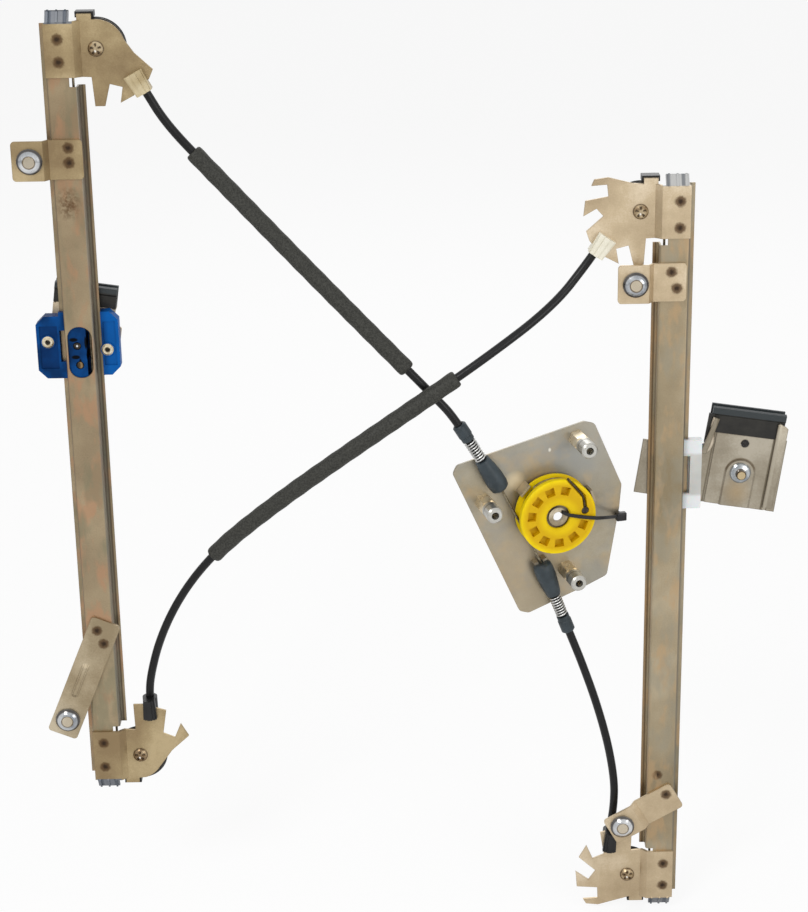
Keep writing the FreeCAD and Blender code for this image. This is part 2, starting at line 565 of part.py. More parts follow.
plate = new_body("base_plate")
PLATE_OUTLINE = [(-67, 31.5), (-64.3, 37.2), (22, 58.8), (29.5, 56.6), (48.8, 12.1), (47.5, -4),
                 (39.5, -52), (26.7, -57.5), (-15.2, -73), (-21.6, -71)]
LUGS = (138.7, 20.3, -88)
slab(plate, [(str(x), str(z)) for x, z in PLATE_OUTLINE], "0", "plate_sheet")
round_edges(plate, "plate_corner", straight_along(Vector(0, 1, 0)))
for angle in LUGS:
    outward, sideways = f"cos({angle})", f"sin({angle})"
    near, far = "(drum_radius + body_gap * 3)", "(drum_radius + body_gap * 3 + plate_sheet)"
    half = "(lug_width / 2)"
    slab(plate, [(f"{r} * {outward} - {k} * {half} * {sideways}",
                  f"{r} * {sideways} + {k} * {half} * {outward}")
                 for r, k in ((near, -1), (far, -1), (far, 1), (near, 1))], "-lug_height", "0.5")
for which in ("upper", "lower"):
    turn = which + "_fitting_turn"
    for k in (-1, 1):
        prong = [(f"{which}_fitting_x + ({along}) * cos({turn}) - ({aside}) * sin({turn})",
                  f"{which}_fitting_z + ({along}) * sin({turn}) + ({aside}) * cos({turn})")
                 for along, aside in (
                     ("0", f"{k} * prong_aside"), ("0", f"{k} * (prong_aside + prong_width)"),
                     ("-plate_sheet", f"{k} * (prong_aside + prong_width)"),
                     ("-plate_sheet", f"{k} * prong_aside"))]
        slab(plate, prong, "-cable_height", "0.5")
drill(plate, "0", "0", "pivot_radius + running_gap", "-0.5", "plate_sheet + 1")
STANDOFFS = ((-46.3, 10.2), (17.3, 47.8), (11, -44))
standoffs = []
for i, (x, z) in enumerate(STANDOFFS, 1):
    drill(plate, str(x), str(z), "thread_radius + 1.2", "-0.5", "plate_sheet + 1")
    spigot = "thread_radius + 1.2 - running_gap"
    standoff = turned(f"standoff_{i}", [
        ("0", "thread_depth - standoff_length"), ("thread_radius", "thread_depth - standoff_length"),
        ("thread_radius", "-standoff_length"), ("standoff_collar - 0.9", "-standoff_length"),
        ("standoff_collar", "-standoff_length + 0.9"), ("standoff_collar", "-standoff_base"),
        (spigot, "-standoff_base"), (spigot, "plate_sheet + 0.6"), ("0", "plate_sheet + 0.6")])
    across = "(standoff_flats / 2 / cos(30))"
    hexagon = [(f"{across} * cos({60 * k + 15})", f"{across} * sin({60 * k + 15})") for k in range(6)]
    base = new_sketch(standoff, "XZ_Plane", "0")
    outline(base, hexagon)
    circle(base, "0", "0", "thread_radius + 1")
    pad(standoff, base, "standoff_base")
    on_plate(standoff, str(x), "0", str(z))
    standoffs.append(standoff)
on_plate(plate)
keep(plate, "base_plate")
group("motor_standoffs", standoffs)

# a deep cup in the plate carries the drum, with an open collar at its front
pivot = turned("drum_pivot", [
    ("pivot_bore", "-pivot_height - collar_height"), ("collar_radius", "-pivot_height - collar_height"),
    ("collar_radius", "-pivot_height"), ("pivot_radius - 1", "-pivot_height"),
    ("pivot_radius", "-pivot_height + 1"), ("pivot_radius", "-drum_lift + running_gap"),
    ("pivot_radius + 2.4", "-drum_lift + running_gap"), ("pivot_radius + 2.4", "0"),
    ("pivot_radius", "0"), ("pivot_radius", "plate_sheet"), ("pivot_radius + 1.6", "plate_sheet"),
    ("pivot_radius + 1.2", "plate_sheet + peen"), ("pivot_radius - pivot_wall", "plate_sheet + peen"),
    ("pivot_radius - pivot_wall", "-pivot_height + pivot_wall"),
    ("pivot_bore", "-pivot_height + pivot_wall")])
on_plate(pivot)
keep(pivot, "drum_pivot")

GROOVES = 3
groove_floor = "(drum_pitch - cable_diameter / 2 - body_gap)"
first_groove = "(-cable_height - groove_pitch * 1.5)"
grooves = []
for i in range(GROOVES):
    middle = f"({first_groove} + groove_pitch * {i})"
    grooves += [("drum_pitch + 0.6", f"{middle} - groove_pitch / 2"),
                (groove_floor, f"{middle} - groove_pitch / 3.2"),
                (groove_floor, f"{middle} + groove_pitch / 3.2")]
drum = turned("cable_drum", [
    ("pivot_radius + running_gap", "-drum_lift"),
    ("pivot_radius + running_gap", "-pivot_height - running_gap * 2"),
    ("hub_mouth", "-pivot_height - running_gap * 2"), ("hub_mouth", "-drum_height + 0.8"),
    ("hub_mouth + 0.8", "-drum_height"),
    ("drum_radius - 0.5", "-drum_height"), ("drum_radius", "-drum_height + 0.5"),
    ("drum_radius", f"{first_groove} - groove_pitch / 2 - 0.6")] + grooves + [
    ("drum_pitch + 0.6", f"{first_groove} + groove_pitch * {GROOVES - 0.5}"),
    ("drum_radius", f"{first_groove} + groove_pitch * {GROOVES - 0.5} + 0.3"),
    ("drum_radius", "-drum_lift")])
pocket = new_sketch(drum, "XZ_Plane", "drum_height")
outward, sideways = "cos(pocket_start)", "sin(pocket_start)"
outline(pocket, [(f"({r}) * {outward} - ({w}) * {sideways}", f"({r}) * {sideways} + ({w}) * {outward}")
                 for r, w in (("pocket_ring - pocket_height / 2", "-pocket_width / 2 + 0.5"),
                              ("pocket_ring + pocket_height / 2", "-pocket_width / 2"),
                              ("pocket_ring + pocket_height / 2", "pocket_width / 2"),
                              ("pocket_ring - pocket_height / 2", "pocket_width / 2 - 0.5"))])
pocket_cut = cut(drum, pocket, "pocket_depth")
ring = drum.newObject("PartDesign::PolarPattern", "drum_pockets")
ring.Originals = [pocket_cut]
ring.Axis = (pocket, ["N_Axis"])
ring.Angle = value("360 / pocket_count * (pockets - 1)")
ring.Occurrences = int(value("pockets"))
tie(ring, "Angle", "360 / pocket_count * (pockets - 1)")
tie(ring, "Occurrences", "pockets")
drum.Tip = ring
# one cable comes in over the rim, in a slot of the face, and the other from behind
LEAD = ((6.4, 25.6), (17.2, 12.8), (18.3, 5.4))
for (x0, z0), (x1, z1) in zip(LEAD, LEAD[1:]):
    run = math.hypot(x1 - x0, z1 - z0)
    side_x, side_z, on_x, on_z = (z1 - z0) / run, (x0 - x1) / run, (x1 - x0) / run, (z1 - z0) / run
    slot = new_sketch(drum, "XZ_Plane", "drum_height")
    outline(slot, [(f"{x} + {k * side_x} * lead_slot / 2 + {reach * on_x} * lead_slot / 4",
                    f"{z} + {k * side_z} * lead_slot / 2 + {reach * on_z} * lead_slot / 4")
                   for x, z, k, reach in ((x0, z0, -1, -1), (x1, z1, -1, 1), (x1, z1, 1, 1),
                                          (x0, z0, 1, -1))])
    cut(drum, slot, "lead_depth")
NIPPLES = (((18.3, 2.7), "-drum_height - 1", "-drum_height + nipple_depth", "-drum_height + 0.6"),
           ((13.7, 12.4), "-drum_lift - nipple_depth", "1", "-drum_lift - nipple_depth"))
drum_nipples = []
for i, ((x, z), mouth, end, front) in enumerate(NIPPLES, 1):
    drill(drum, str(x), str(z), "nipple_radius + running_gap", mouth, end)
    back = f"{front} + nipple_depth - 0.6"
    nipple = turned(f"drum_nipple_{i}", [
        ("0", front), ("nipple_radius - 0.4", front), ("nipple_radius", f"{front} + 0.4"),
        ("nipple_radius", back), ("0", back)])
    on_plate(nipple, str(x), "0", str(z))
    drum_nipples.append(nipple)
on_plate(drum)
keep(drum, "cable_drum")
group("drum_nipples", drum_nipples)

winding = new_body("spare_turn")
section = new_sketch(winding, "XY_Plane")
circle(section, "drum_pitch", first_groove, "cable_diameter / 2")
turn = winding.newObject("PartDesign::Revolution", "spare_turn_round")
turn.Profile = section
turn.ReferenceAxis = (section, ["V_Axis"])
turn.Angle = 360
doc.recompute()
on_plate(winding)

# the tie runs through the pivot and round the plate's edge, and holds the drum on in transit

transport_tie = new_body("transport_tie")
front, back = "(-drum_height - tie_gap)", "(plate_sheet + peen + tie_gap)"
cup = "(pivot_radius - pivot_wall - 1.8)"
neck = "(pivot_wall * 1.7 - pivot_height)"
strap = new_sketch(transport_tie, "XY_Plane", "-tie_width / 2")
outline(strap, [("tie_aside", f"{front} - tie_strap"), ("drum_radius + tie_width", f"{front} - tie_strap"),
                ("tie_reach + tie_strap", "-tie_strap * 3"), ("tie_reach + tie_strap", f"{back} + tie_strap"),
                (cup, f"{back} + tie_strap"), ("tie_aside", neck)])
outline(strap, [("tie_aside + tie_strap", front), ("drum_radius + tie_width * 0.7", front),
                ("tie_reach", "-tie_strap * 2.6"), ("tie_reach", back),
                (f"{cup} + tie_strap * 0.6", back), ("tie_aside + tie_strap", f"{neck} - tie_strap / 4")])
pad(transport_tie, strap, "tie_width")
head = new_sketch(transport_tie, "XY_Plane", "-tie_width * 1.1")
outline(head, rectangle("tie_reach - tie_strap * 1.5", "tie_reach + tie_width * 2.2",
                        "-tie_strap * 4.2", "-tie_strap / 2"))
pad(transport_tie, head, "tie_width * 2.2")
on_plate(transport_tie)
keep(transport_tie, "transport_tie")

# lift cables, their conduits and the pieces on them

def route(points):
    """Straight runs joined by tangent arcs, each arc as large as its two runs allow."""
    edges, last, radii = [], points[0], []
    for before, corner, after in zip(points, points[1:], points[2:]):
        a, b = before - corner, after - corner
        short = 0.45 * min(a.Length, b.Length)
        a.normalize()
        b.normalize()
        turn = math.pi - a.getAngle(b)
        start, end = corner + a * short, corner + b * short
        radius = short / math.tan(turn / 2)
        inward = (a + b).normalize()
        middle = corner + inward * (radius / math.cos(turn / 2) - radius)
        if (start - last).Length > 1e-6:
            edges.append(Part.LineSegment(last, start).toShape())
        edges.append(Part.Arc(start, middle, end).toShape())
        radii.append(round(radius))
        last = end
    edges.append(Part.LineSegment(last, points[-1]).toShape())
    return edges, radii


def stretch(edges, start, end):
    """The part of a route between two distances along it."""
    kept, travelled = [], 0
    for edge in edges:
        low, high = max(start - travelled, 0), min(end - travelled, edge.Length)
        if high - low > 1e-3:
            ends = [edge.getParameterByLength(max(low, 0)), edge.getParameterByLength(high)]
            kept.append(edge.Curve.toShape(*ends))
        travelled += edge.Length
    return kept


def rod(edges, radius):
    wire = Part.Wire(edges)
    start = edges[0].valueAt(edges[0].FirstParameter)
    heading = edges[0].tangentAt(edges[0].FirstParameter)
    section = Part.Wire(Part.makeCircle(radius, start, heading))
    return wire.makePipeShell([section], True, False)


def keep_shape(name, shape):
    feature = doc.addObject("Part::Feature", name)
    feature.Shape = shape
    return keep(feature, name)


def point(x, y, z):
    return Vector(value(str(x)), value(str(y)), value(str(z)))


def plate_point(x, height, z):
    """A point given by its place on the drum plate."""
    return point(f"{PLATE_X} + ({x}) * cos(plate_yaw) + ({height}) * sin(plate_yaw)",
                 f"plate_y + ({x}) * sin(plate_yaw) - ({height}) * cos(plate_yaw)",
                 f"plate_z + ({z})")


def clip_place(end_name, along):
    """A point on an end's conduit clip axis, measured from its mouth."""
    _, rail, level, _, _, drop = next(e for e in ENDS if e[0] == end_name)
    u, w = clip_point(end_name, drop, along)
    x, y, z = end_place(rail, level)
    return point(f"{x} + {rail['side']} * ({u})", f"{y} + cable_depth", f"{z} + {level} * ({w})")


def fitting_place(which, along):
    """A point on a plate fitting's axis, measured from its end at the drum."""
    turn = which + "_fitting_turn"
    return plate_point(f"{which}_fitting_x + ({along}) * cos({turn})", "cable_height",
                       f"{which}_fitting_z + ({along}) * sin({turn})")


def pulley_run(end_name):
    """The cable round an end's pulley: from the rail's side to the clip's inner end."""
    _, rail, level, _, _, drop = next(e for e in ENDS if e[0] == end_name)
    u, w = clip_point(end_name, drop, "-clip_length")
    entry = Vector(value(u), value(w), 0)
    pitch = value("pulley_pitch")
    touch = math.atan2(entry.y, entry.x) + math.acos(pitch / entry.Length)
    centre = point(*end_place(rail, level)) + Vector(0, value("cable_depth"), 0)

    def at(angle):
        return centre + Vector(rail["side"] * math.cos(angle), 0, level * math.sin(angle)) * pitch

    arc = Part.Arc(at(math.pi), at((math.pi + touch) / 2), at(touch)).toShape()
    return arc, at(touch)


def make_conduit(name, points, sleeve):
    """The sheath as a tube, and the foam sleeve on a stretch of it."""
    edges, radii = route(points)
    length = sum(edge.Length for edge in edges)
    outer = rod(edges, value("conduit_diameter / 2"))
    bore = rod(edges, value("liner_diameter / 2"))
    tube = outer.cut(bore)
    area = math.pi * (value("conduit_diameter") ** 2 - value("liner_diameter") ** 2) / 4
    print(f"{name}: {length:.0f} mm, volume {tube.Volume:.0f} against {area * length:.0f}, radii {radii}")
    keep_shape(name, tube)
    if sleeve:
        path = stretch(edges, length * sleeve[0], length * sleeve[1])
        bore = rod(path, value("conduit_diameter / 2 + running_gap"))
        foam = rod(path, value("sleeve_diameter / 2")).cut(bore)
        keep_shape(name.replace("conduit", "foam_sleeve"), foam)
        print(f"foam sleeve on it: {sum(e.Length for e in path):.0f} mm")
    return edges


def make_cable(name, edges):
    solid = rod(edges, value("cable_diameter / 2"))
    length = sum(edge.Length for edge in edges)
    area = math.pi * value("cable_diameter") ** 2 / 4
    print(f"{name}: {length:.0f} mm, volume {solid.Volume:.0f} against {area * length:.0f}")
    keep_shape(name, solid)


def line(a, b):
    return Part.LineSegment(a, b).toShape()


FITTED = "fitting_length + spring_length + ferrule_length"
upper_left_points = [
    clip_place("left_upper", "-clip_grip"), clip_place("left_upper", "4"),
    Vector(81, 12.6, 25.2), Vector(90, 12, 13.2), Vector(102, 10.8, -0.1), Vector(128.7, 8.2, -29),
    Vector(164.8, 2.4, -67.3), Vector(200.8, -4.2, -104.6), Vector(230.3, -9, -135.1),
    Vector(250.2, -11, -156.2), fitting_place("upper", FITTED + " + 8"),
    fitting_place("upper", FITTED + " - ferrule_grip")]
crossing_points = [
    clip_place("right_upper", "-clip_grip"), clip_place("right_upper", "4"),
    Vector(341.4, 11.8, -80), Vector(329.9, 7, -93.4), Vector(312.3, -1.6, -107.2),
    Vector(289.7, -11, -121.5), Vector(265.5, -18, -136.9), Vector(232.3, -21.5, -158.9),
    Vector(193.6, -19.2, -186.5), Vector(154.1, -14, -216.3), Vector(120, -8, -244.6),
    Vector(101, -4, -263.5), Vector(84.9, 0.5, -284.2), Vector(71.5, 5, -307),
    Vector(61, 9, -331.5), Vector(54.6, 12, -354.5), clip_place("left_lower", "4"),
    clip_place("left_lower", "-clip_grip")]
lower_right_points = [
    fitting_place("lower", FITTED + " - ferrule_grip"), fitting_place("lower", FITTED + " + 6"),
    Vector(345.9, 9.2, -352), Vector(356, 10.2, -382), Vector(364.6, 11.4, -414.3),
    Vector(369.4, 12.3, -443.3), Vector(369.3, 12.7, -461.5), clip_place("right_lower", "4"),
    clip_place("right_lower", "-clip_grip")]
upper_left_edges = make_conduit("upper_left_conduit", upper_left_points, (0.178, 0.81))
crossing_edges = make_conduit("crossing_conduit", crossing_points, (0.274, 0.717))
make_conduit("lower_right_conduit", lower_right_points, None)


def drum_place(which, sign, wrapped):
    """A point of a cable in its groove on the drum, a number of degrees beyond its first touch."""
    groove = f"cable_height + groove_pitch * {sign * 0.5}"
    start = Vector(value(f"{which}_fitting_x"), value(f"{which}_fitting_z"), 0)
    pitch = value("drum_pitch")
    touch = math.atan2(start.y, start.x) - sign * math.acos(pitch / start.Length)
    touch -= sign * math.radians(wrapped)
    return plate_point(pitch * math.cos(touch), groove, pitch * math.sin(touch))


def drum_arc(which, sign):
    """The cable's turn in its groove, which stays put while the drum's groove runs under it."""
    return Part.Arc(*[drum_place(which, sign, wrapped) for wrapped in (0, 140, 280)]).toShape()


def rail_meeting(rail, rise):
    return point(f"{rail['x']} + {rail['side']} * ({CABLE_OFFSET})", f"{WEB} + cable_depth",
                 f"{rail['z']} + {rise}")


def pulley_edges(end_name, meeting):
    """The cable from where it meets the carriage, round the pulley and up to the conduit."""
    arc, touch = pulley_run(end_name)
    first = min((v.Point for v in arc.Vertexes), key=lambda p: (p - touch).Length * -1)
    entry, inside = clip_place(end_name, "-clip_length"), clip_place(end_name, "-clip_grip")
    lead, _ = route([touch, entry, inside])
    return [line(meeting, first), arc] + lead


left_meeting = rail_meeting(LEFT, "left_slider_rise")
right_meeting = rail_meeting(RIGHT, "right_slider_rise")
upper_touch = drum_place("upper", -1, 0)
lower_touch = drum_place("lower", 1, 0)
make_cable("upper_left_cable", pulley_edges("left_upper", left_meeting) + upper_left_edges +
           [line(fitting_place("upper", FITTED + " - ferrule_grip"), fitting_place("upper", "0")),
            line(fitting_place("upper", "0"), upper_touch), drum_arc("upper", -1)])
make_cable("lower_right_cable",
           pulley_edges("right_lower", right_meeting) + route(lower_right_points[::-1])[0] +
           [line(fitting_place("lower", FITTED + " - ferrule_grip"), fitting_place("lower", "0")),
            line(fitting_place("lower", "0"), lower_touch), drum_arc("lower", 1)])
make_cable("crossing_cable",
           pulley_edges("right_upper", right_meeting) + crossing_edges +
           [edge for edge in pulley_edges("left_lower", left_meeting)[::-1]])

lead_height = "drum_height - cable_diameter"
lead = doc.addObject("Part::Feature", "drum_lead")
lead.Shape = rod(route([plate_point(str(x), lead_height, str(z)) for x, z in LEAD])[0],
                 value("cable_diameter / 2"))
group("drum_winding", [winding, lead])

# the pieces between each conduit and the drum: end fitting, spring and ferrule on one line

def on_fitting(thing, which, along):
    """Stand a piece's own Y axis on a fitting's axis, pointing away from the drum."""
    turn = math.radians(value(which + "_fitting_turn"))
    yaw = math.radians(value("plate_yaw"))
    across = Vector(math.cos(yaw), math.sin(yaw), 0)
    axis = across * math.cos(turn) + Vector(0, 0, math.sin(turn))
    outward = Vector(math.sin(yaw), -math.cos(yaw), 0)
    thing.Placement = Placement(fitting_place(which, along),
                                Rotation(axis.cross(outward), axis, outward, "XYZ"))


for which in ("upper", "lower"):
    bore = "cable_diameter / 2 + 0.4"
    fitting = turned(which + "_fitting", [
        (bore, "0"), ("fitting_radius - 2.2", "0"), ("fitting_radius - 0.6", "1.4"),
        ("fitting_radius", "4.5"), ("fitting_radius", "fitting_length * 0.45"),
        ("fitting_radius - 0.7", "fitting_length * 0.72"), ("fitting_radius - 1.8", "fitting_length"),
        (bore, "fitting_length")])
    on_fitting(fitting, which, "0")
    keep(fitting, which + "_end_fitting")
    ferrule = turned(which + "_ferrule_body", [
        (bore, "0"), ("ferrule_radius - 0.4", "0"), ("ferrule_radius - 0.4", "3"),
        ("ferrule_radius", "3.6"), ("ferrule_radius", "ferrule_length - 1"),
        ("ferrule_radius - 1", "ferrule_length"), ("conduit_diameter / 2 + running_gap", "ferrule_length"),
        ("conduit_diameter / 2 + running_gap", "ferrule_length - ferrule_grip"),
        (bore, "ferrule_length - ferrule_grip")])
    on_fitting(ferrule, which, "fitting_length + spring_length")
    keep(ferrule, which + "_ferrule")
    # the spring touches the fitting and the ferrule with its end coils
    wire = value("spring_wire")
    pitch = value("(spring_length - spring_wire) / spring_turns")
    coil = Part.makeHelix(pitch, value("spring_length - spring_wire"), value("spring_radius - spring_wire / 2"))
    start = coil.Edges[0].valueAt(coil.Edges[0].FirstParameter)
    section = Part.Wire(Part.makeCircle(wire / 2, start, coil.Edges[0].tangentAt(0)))
    spring = Part.Wire(coil.Edges).makePipeShell([section], True, True)
    spring.Placement = Placement(Vector(0, wire / 2, 0), Rotation(Vector(1, 0, 0), -90))
    spring_node = keep_shape(which + "_tension_spring", spring)
    stand = Placement(spring_node.Placement)
    on_fitting(spring_node, which, "fitting_length")
    spring_node.Placement = spring_node.Placement.multiply(stand)

# carriages: each slides on its rail and takes one corner of the glass

def cut_corner(body, x, z, size, front, back):
    """Cut a corner off at an angle; x and z are the corner's formulas with their signs."""
    right, up = (math.copysign(1, value(text)) for text in (x, z))
    inward_x, inward_z = f"{x} - {right} * ({size})", f"{z} - {up} * ({size})"
    beyond_x, beyond_z = f"{x} + {right}", f"{z} + {up}"
    window(body, [(inward_x, z), (inward_x, beyond_z), (beyond_x, beyond_z), (beyond_x, inward_z),
                  (x, inward_z)], front, back)


def glass_frame(x, rise, rail):
    """The tilted frame of a carriage's glass holder."""
    return (f"{rail['x']} + {x}", WEB, f"{rail['z']} + {rise}")


def stepped_plate(name, front, ledge, shape, holes):
    """A carrier plate that steps back behind the rubber, its outline cut from a stepped strip."""
    body = new_body(name)
    xs = [c[0] for c in shape]
    zs = [c[1] for c in shape]
    back = f"({front} + glass_gap + rubber_wall * 2)"
    sheet_text = "carrier_sheet"
    strip = [(front, str(min(zs))), (f"{front} + {sheet_text}", str(min(zs))),
             (f"{front} + {sheet_text}", f"{ledge} - {sheet_text}"),
             (f"{back} + {sheet_text}", f"{ledge} - {sheet_text}"),
             (f"{back} + {sheet_text}", str(max(zs))), (back, str(max(zs))), (back, ledge),
             (front, ledge)]
    sketch = new_sketch(body, "YZ_Plane", str(min(xs)))
    outline(sketch, strip)
    pad(body, sketch, str(max(xs) - min(xs)))
    sketch = new_sketch(body, "XZ_Plane", f"-({front} - 1)")
    outline(sketch, rectangle(str(min(xs) - 2), str(max(xs) + 2), str(min(zs) - 2), str(max(zs) + 2)))
    outline(sketch, [(str(x), str(z)) for x, z in shape])
    cut(body, sketch, f"{back} - {front} + 4")
    for x, z, radius in holes:
        drill(body, x, z, radius, f"{front} - 1", f"{front} + {sheet_text} + 1")
    return body


def make_rubber(name, front, ledge, height, left, right):
    """The rubber channel that takes the glass edge, open at its top, with a bead along its lip."""
    body = new_body(name)
    floor, top = f"({ledge} + running_gap)", f"({ledge} + {height})"
    back = f"({front} + glass_gap + rubber_wall * 2)"
    sketch = new_sketch(body, "YZ_Plane", f"-{left}")
    outline(sketch, [(front, floor), (back, floor), (back, top), (f"{back} - rubber_wall", top),
                     (f"{back} - rubber_wall", f"{top} - rubber_depth"),
                     (f"{front} + rubber_wall", f"{top} - rubber_depth"),
                     (f"{front} + rubber_wall", top), (f"{front} - 0.9", f"{top} - 0.5"),
                     (f"{front} - 1.2", f"{top} - 4.4"), (front, f"{top} - 5.6")])
    pad(body, sketch, f"{left} + {right}")
    return body


def in_tilt(x, z):
    """Formulas that carry a point of the rail's frame into the tilted frame, and the same numbers."""
    return (f"({x}) * cos(glass_tilt) - ({z}) * sin(glass_tilt)",
            f"({x}) * sin(glass_tilt) + ({z}) * cos(glass_tilt)")


block = "(web_width / 2 - rail_sheet - rail_gap * 1.2)"
jaw, lip = "(web_width / 2 + rail_gap)", "(rail_width / 2 + rail_gap)"
jaw_back, under = "(rail_depth - rail_sheet - rail_gap)", "(rail_depth + rail_gap)"
cable_side = "(cable_depth / 2 + 0.15)"
inside = "(rail_sheet + rail_gap * 1.5)"
slider = new_body("left_slider")
sketch = new_sketch(slider, "XY_Plane", "-slider_half")
slider_back = f"({under} + slider_back)"
outline(sketch, [("-slider_left", "jaw_front"), (f"-{jaw}", "jaw_front"), (f"-{jaw}", jaw_back),
                 (f"-{lip}", jaw_back), (f"-{lip}", under), (f"-{block}", under), (f"-{block}", inside),
                 (cable_side, inside), (cable_side, under), (lip, under), (lip, "jaw_front"),
                 ("slider_right", "jaw_front"), ("slider_right", slider_back),
                 ("-slider_left", slider_back)])
pad(slider, sketch, "slider_half * 2")
# the wings are shorter than the block, and their corners are cut off
for x0, x1, z0, z1 in (("-slider_left - 1", f"-{lip}", "left_wing_top", "slider_half + 1"),
                       (lip, "slider_right + 1", "-slider_half - 1", "-right_wing_low")):
    window(slider, rectangle(x0, x1, z0, z1), "jaw_front - 1", f"{slider_back} + 1")
for x, z in (("-slider_left", "-slider_half"), ("-slider_left", "left_wing_top"),
             ("slider_right", "-right_wing_low"), ("slider_right", "slider_half")):
    cut_corner(slider, x, z, "slider_corner", "jaw_front - 1", f"{slider_back} + 1")
window(slider, rectangle(f"-{lip}", f"1 - {jaw}", "-slider_half / 2", "slider_half * 0.45"),
       "jaw_front - 1", "rail_depth")
LEFT_RIVETS = ((-21.1, 2.3), (16.8, -3.2))
for x0, x1, z0, z1 in (("-slider_left + 2", f"-{lip} - 1.4", "-slider_half + 6.5", "left_wing_top - 6.5"),
                       (f"{lip} + 1.2", "slider_right - 2", "-right_wing_low + 6.5", "slider_half - 6.5")):
    window(slider, rectangle(x0, x1, z0, z1), "jaw_front - 1", "jaw_front + panel_depth")
for x, z in LEFT_RIVETS:
    boss = new_sketch(slider, "XZ_Plane", "-jaw_front - 1")
    circle(boss, str(x), str(z), "rivet_radius + 1.6")
    pad(slider, boss, "1")
LEFT_NIPPLES = ((-2.1, 0.4), (-1, -12.4))
for x, z in LEFT_RIVETS:
    drill(slider, str(x), str(z), "rivet_radius", "jaw_front - 1", f"{slider_back} + 1")
for x, z in LEFT_NIPPLES:
    drill(slider, str(x), str(z), "nipple_radius + running_gap", f"{inside} - 1", "rail_depth")
put(slider, LEFT["x"], WEB, f"{LEFT['z']} + left_slider_rise")
keep(slider, "left_slider")

shoe = new_body("right_slider_shoe")
sketch = new_sketch(shoe, "XY_Plane", "-shoe_half")
shoe_back = f"({under} + shoe_back)"
outline(sketch, [(jaw, "jaw_front"), ("shoe_right", "jaw_front"), ("shoe_right", shoe_back),
                 (f"-{cable_side}", shoe_back), (f"-{cable_side}", inside), (block, inside),
                 (block, under), (lip, under), (lip, jaw_back), (jaw, jaw_back)])
pad(shoe, sketch, "shoe_half * 2")
window(shoe, rectangle(f"{jaw} - 1", f"{lip} + 0.9", "-13.3", "12.8"), "jaw_front - 1", "rail_depth - 0.6")
RIGHT_RIVETS = ((2, 15), (2, -13))
RIGHT_NIPPLES = ((2.1, 6.6), (1, -6.6))
for x, z in RIGHT_RIVETS:
    drill(shoe, str(x), str(z), "pin_radius", f"{inside} + 1", f"{shoe_back} + 1")
for x, z in RIGHT_NIPPLES:
    drill(shoe, str(x), str(z), "nipple_radius + running_gap", f"{inside} - 1", "rail_depth")
put(shoe, RIGHT["x"], WEB, f"{RIGHT['z']} + right_slider_rise")
keep(shoe, "right_slider_shoe")

LEFT_PLATE = [(-27, -14), (25, -14), (25, 12), (20, 16), (20, 24), (18, 24), (18, 35), (-18, 35),
              (-18, 24), (-20, 24), (-20, 16), (-27, 12)]
RIGHT_PLATE = [(-67, -22.7), (27.2, -24.5), (26.6, 25.4), (21, 25.4), (21, 36.5), (-21, 36.5),
               (-21, 25.4), (-24.5, 25.4), (-24.5, 18), (-31, 14.8), (-67, 14.4)]
left_holes = [in_tilt(x + 1, z) + ("rivet_radius",) for x, z in LEFT_RIVETS]
left_holes.append(("14.5", "22", "1.1"))
left_plate = stepped_plate("left_glass_plate_body", slider_back, "left_ledge", LEFT_PLATE, left_holes)
right_holes = [in_tilt(f"{x} - clamp_x", f"{z} + clamp_drop") + ("pin_radius",)
               for x, z in RIGHT_RIVETS] + [("0", "0", "clamp_shank"), ("-0.4", "20.2", "2.7")]
right_plate = stepped_plate("right_glass_plate_body", shoe_back, "right_ledge", RIGHT_PLATE, right_holes)
# a raised bow round the clamp, two channels, and a strip that holds the rubber's end
raised = f"({shoe_back} - emboss_height)"
for inset, front in (("0", f"{raised} + emboss_height / 2"), ("0.7", raised)):
    bow = f"(emboss_radius - {inset})"
    slab(right_plate, [(f"-{bow}", "-24"), (bow, "-24"), (bow, "0", f"-{bow} * 1.004"), (f"-{bow}", "0")],
         front, f"{shoe_back} + carrier_sheet / 2")
drill(right_plate, "0", "0", "clamp_shank", f"{raised} - 1", f"{shoe_back} + carrier_sheet + 1")
for x in ("-21.6", "20"):
    window(right_plate, rectangle(x, f"{x} + channel_width", "-26", "right_ledge + 1"),
           f"{shoe_back} - 1", f"{shoe_back} + carrier_sheet * 0.4")
slab(right_plate, [("-28", "10.6"), ("-25", "10.6"), ("-20.3", "35.5"), ("-23.5", "36.3"),
                   ("-28", "14.6")],
     f"{shoe_back} - strip_gap - carrier_sheet", f"{shoe_back} - strip_gap")
slab(right_plate, rectangle("-28", "-25", "10.6", "14"), f"{shoe_back} - strip_gap - 0.5",
     f"{shoe_back} + 0.5")
left_rubber = make_rubber("left_glass_rubber_body", slider_back, "left_ledge", "left_rubber_height",
                          "left_rubber_half", "left_rubber_half")
right_rubber = make_rubber("right_glass_rubber_body", shoe_back, "right_ledge", "right_rubber_height",
                           "right_rubber_left", "right_rubber_right")
TILT = Vector(0, 1, 0)
for piece, name in ((left_plate, "left_glass_plate"), (left_rubber, "left_glass_rubber")):
    put(piece, *glass_frame("-1", "left_slider_rise", LEFT), TILT, "glass_tilt")
    keep(piece, name)
for piece, name in ((right_plate, "right_glass_plate"), (right_rubber, "right_glass_rubber")):
    put(piece, *glass_frame("clamp_x", "right_slider_rise - clamp_drop", RIGHT), TILT, "glass_tilt")
    keep(piece, name)

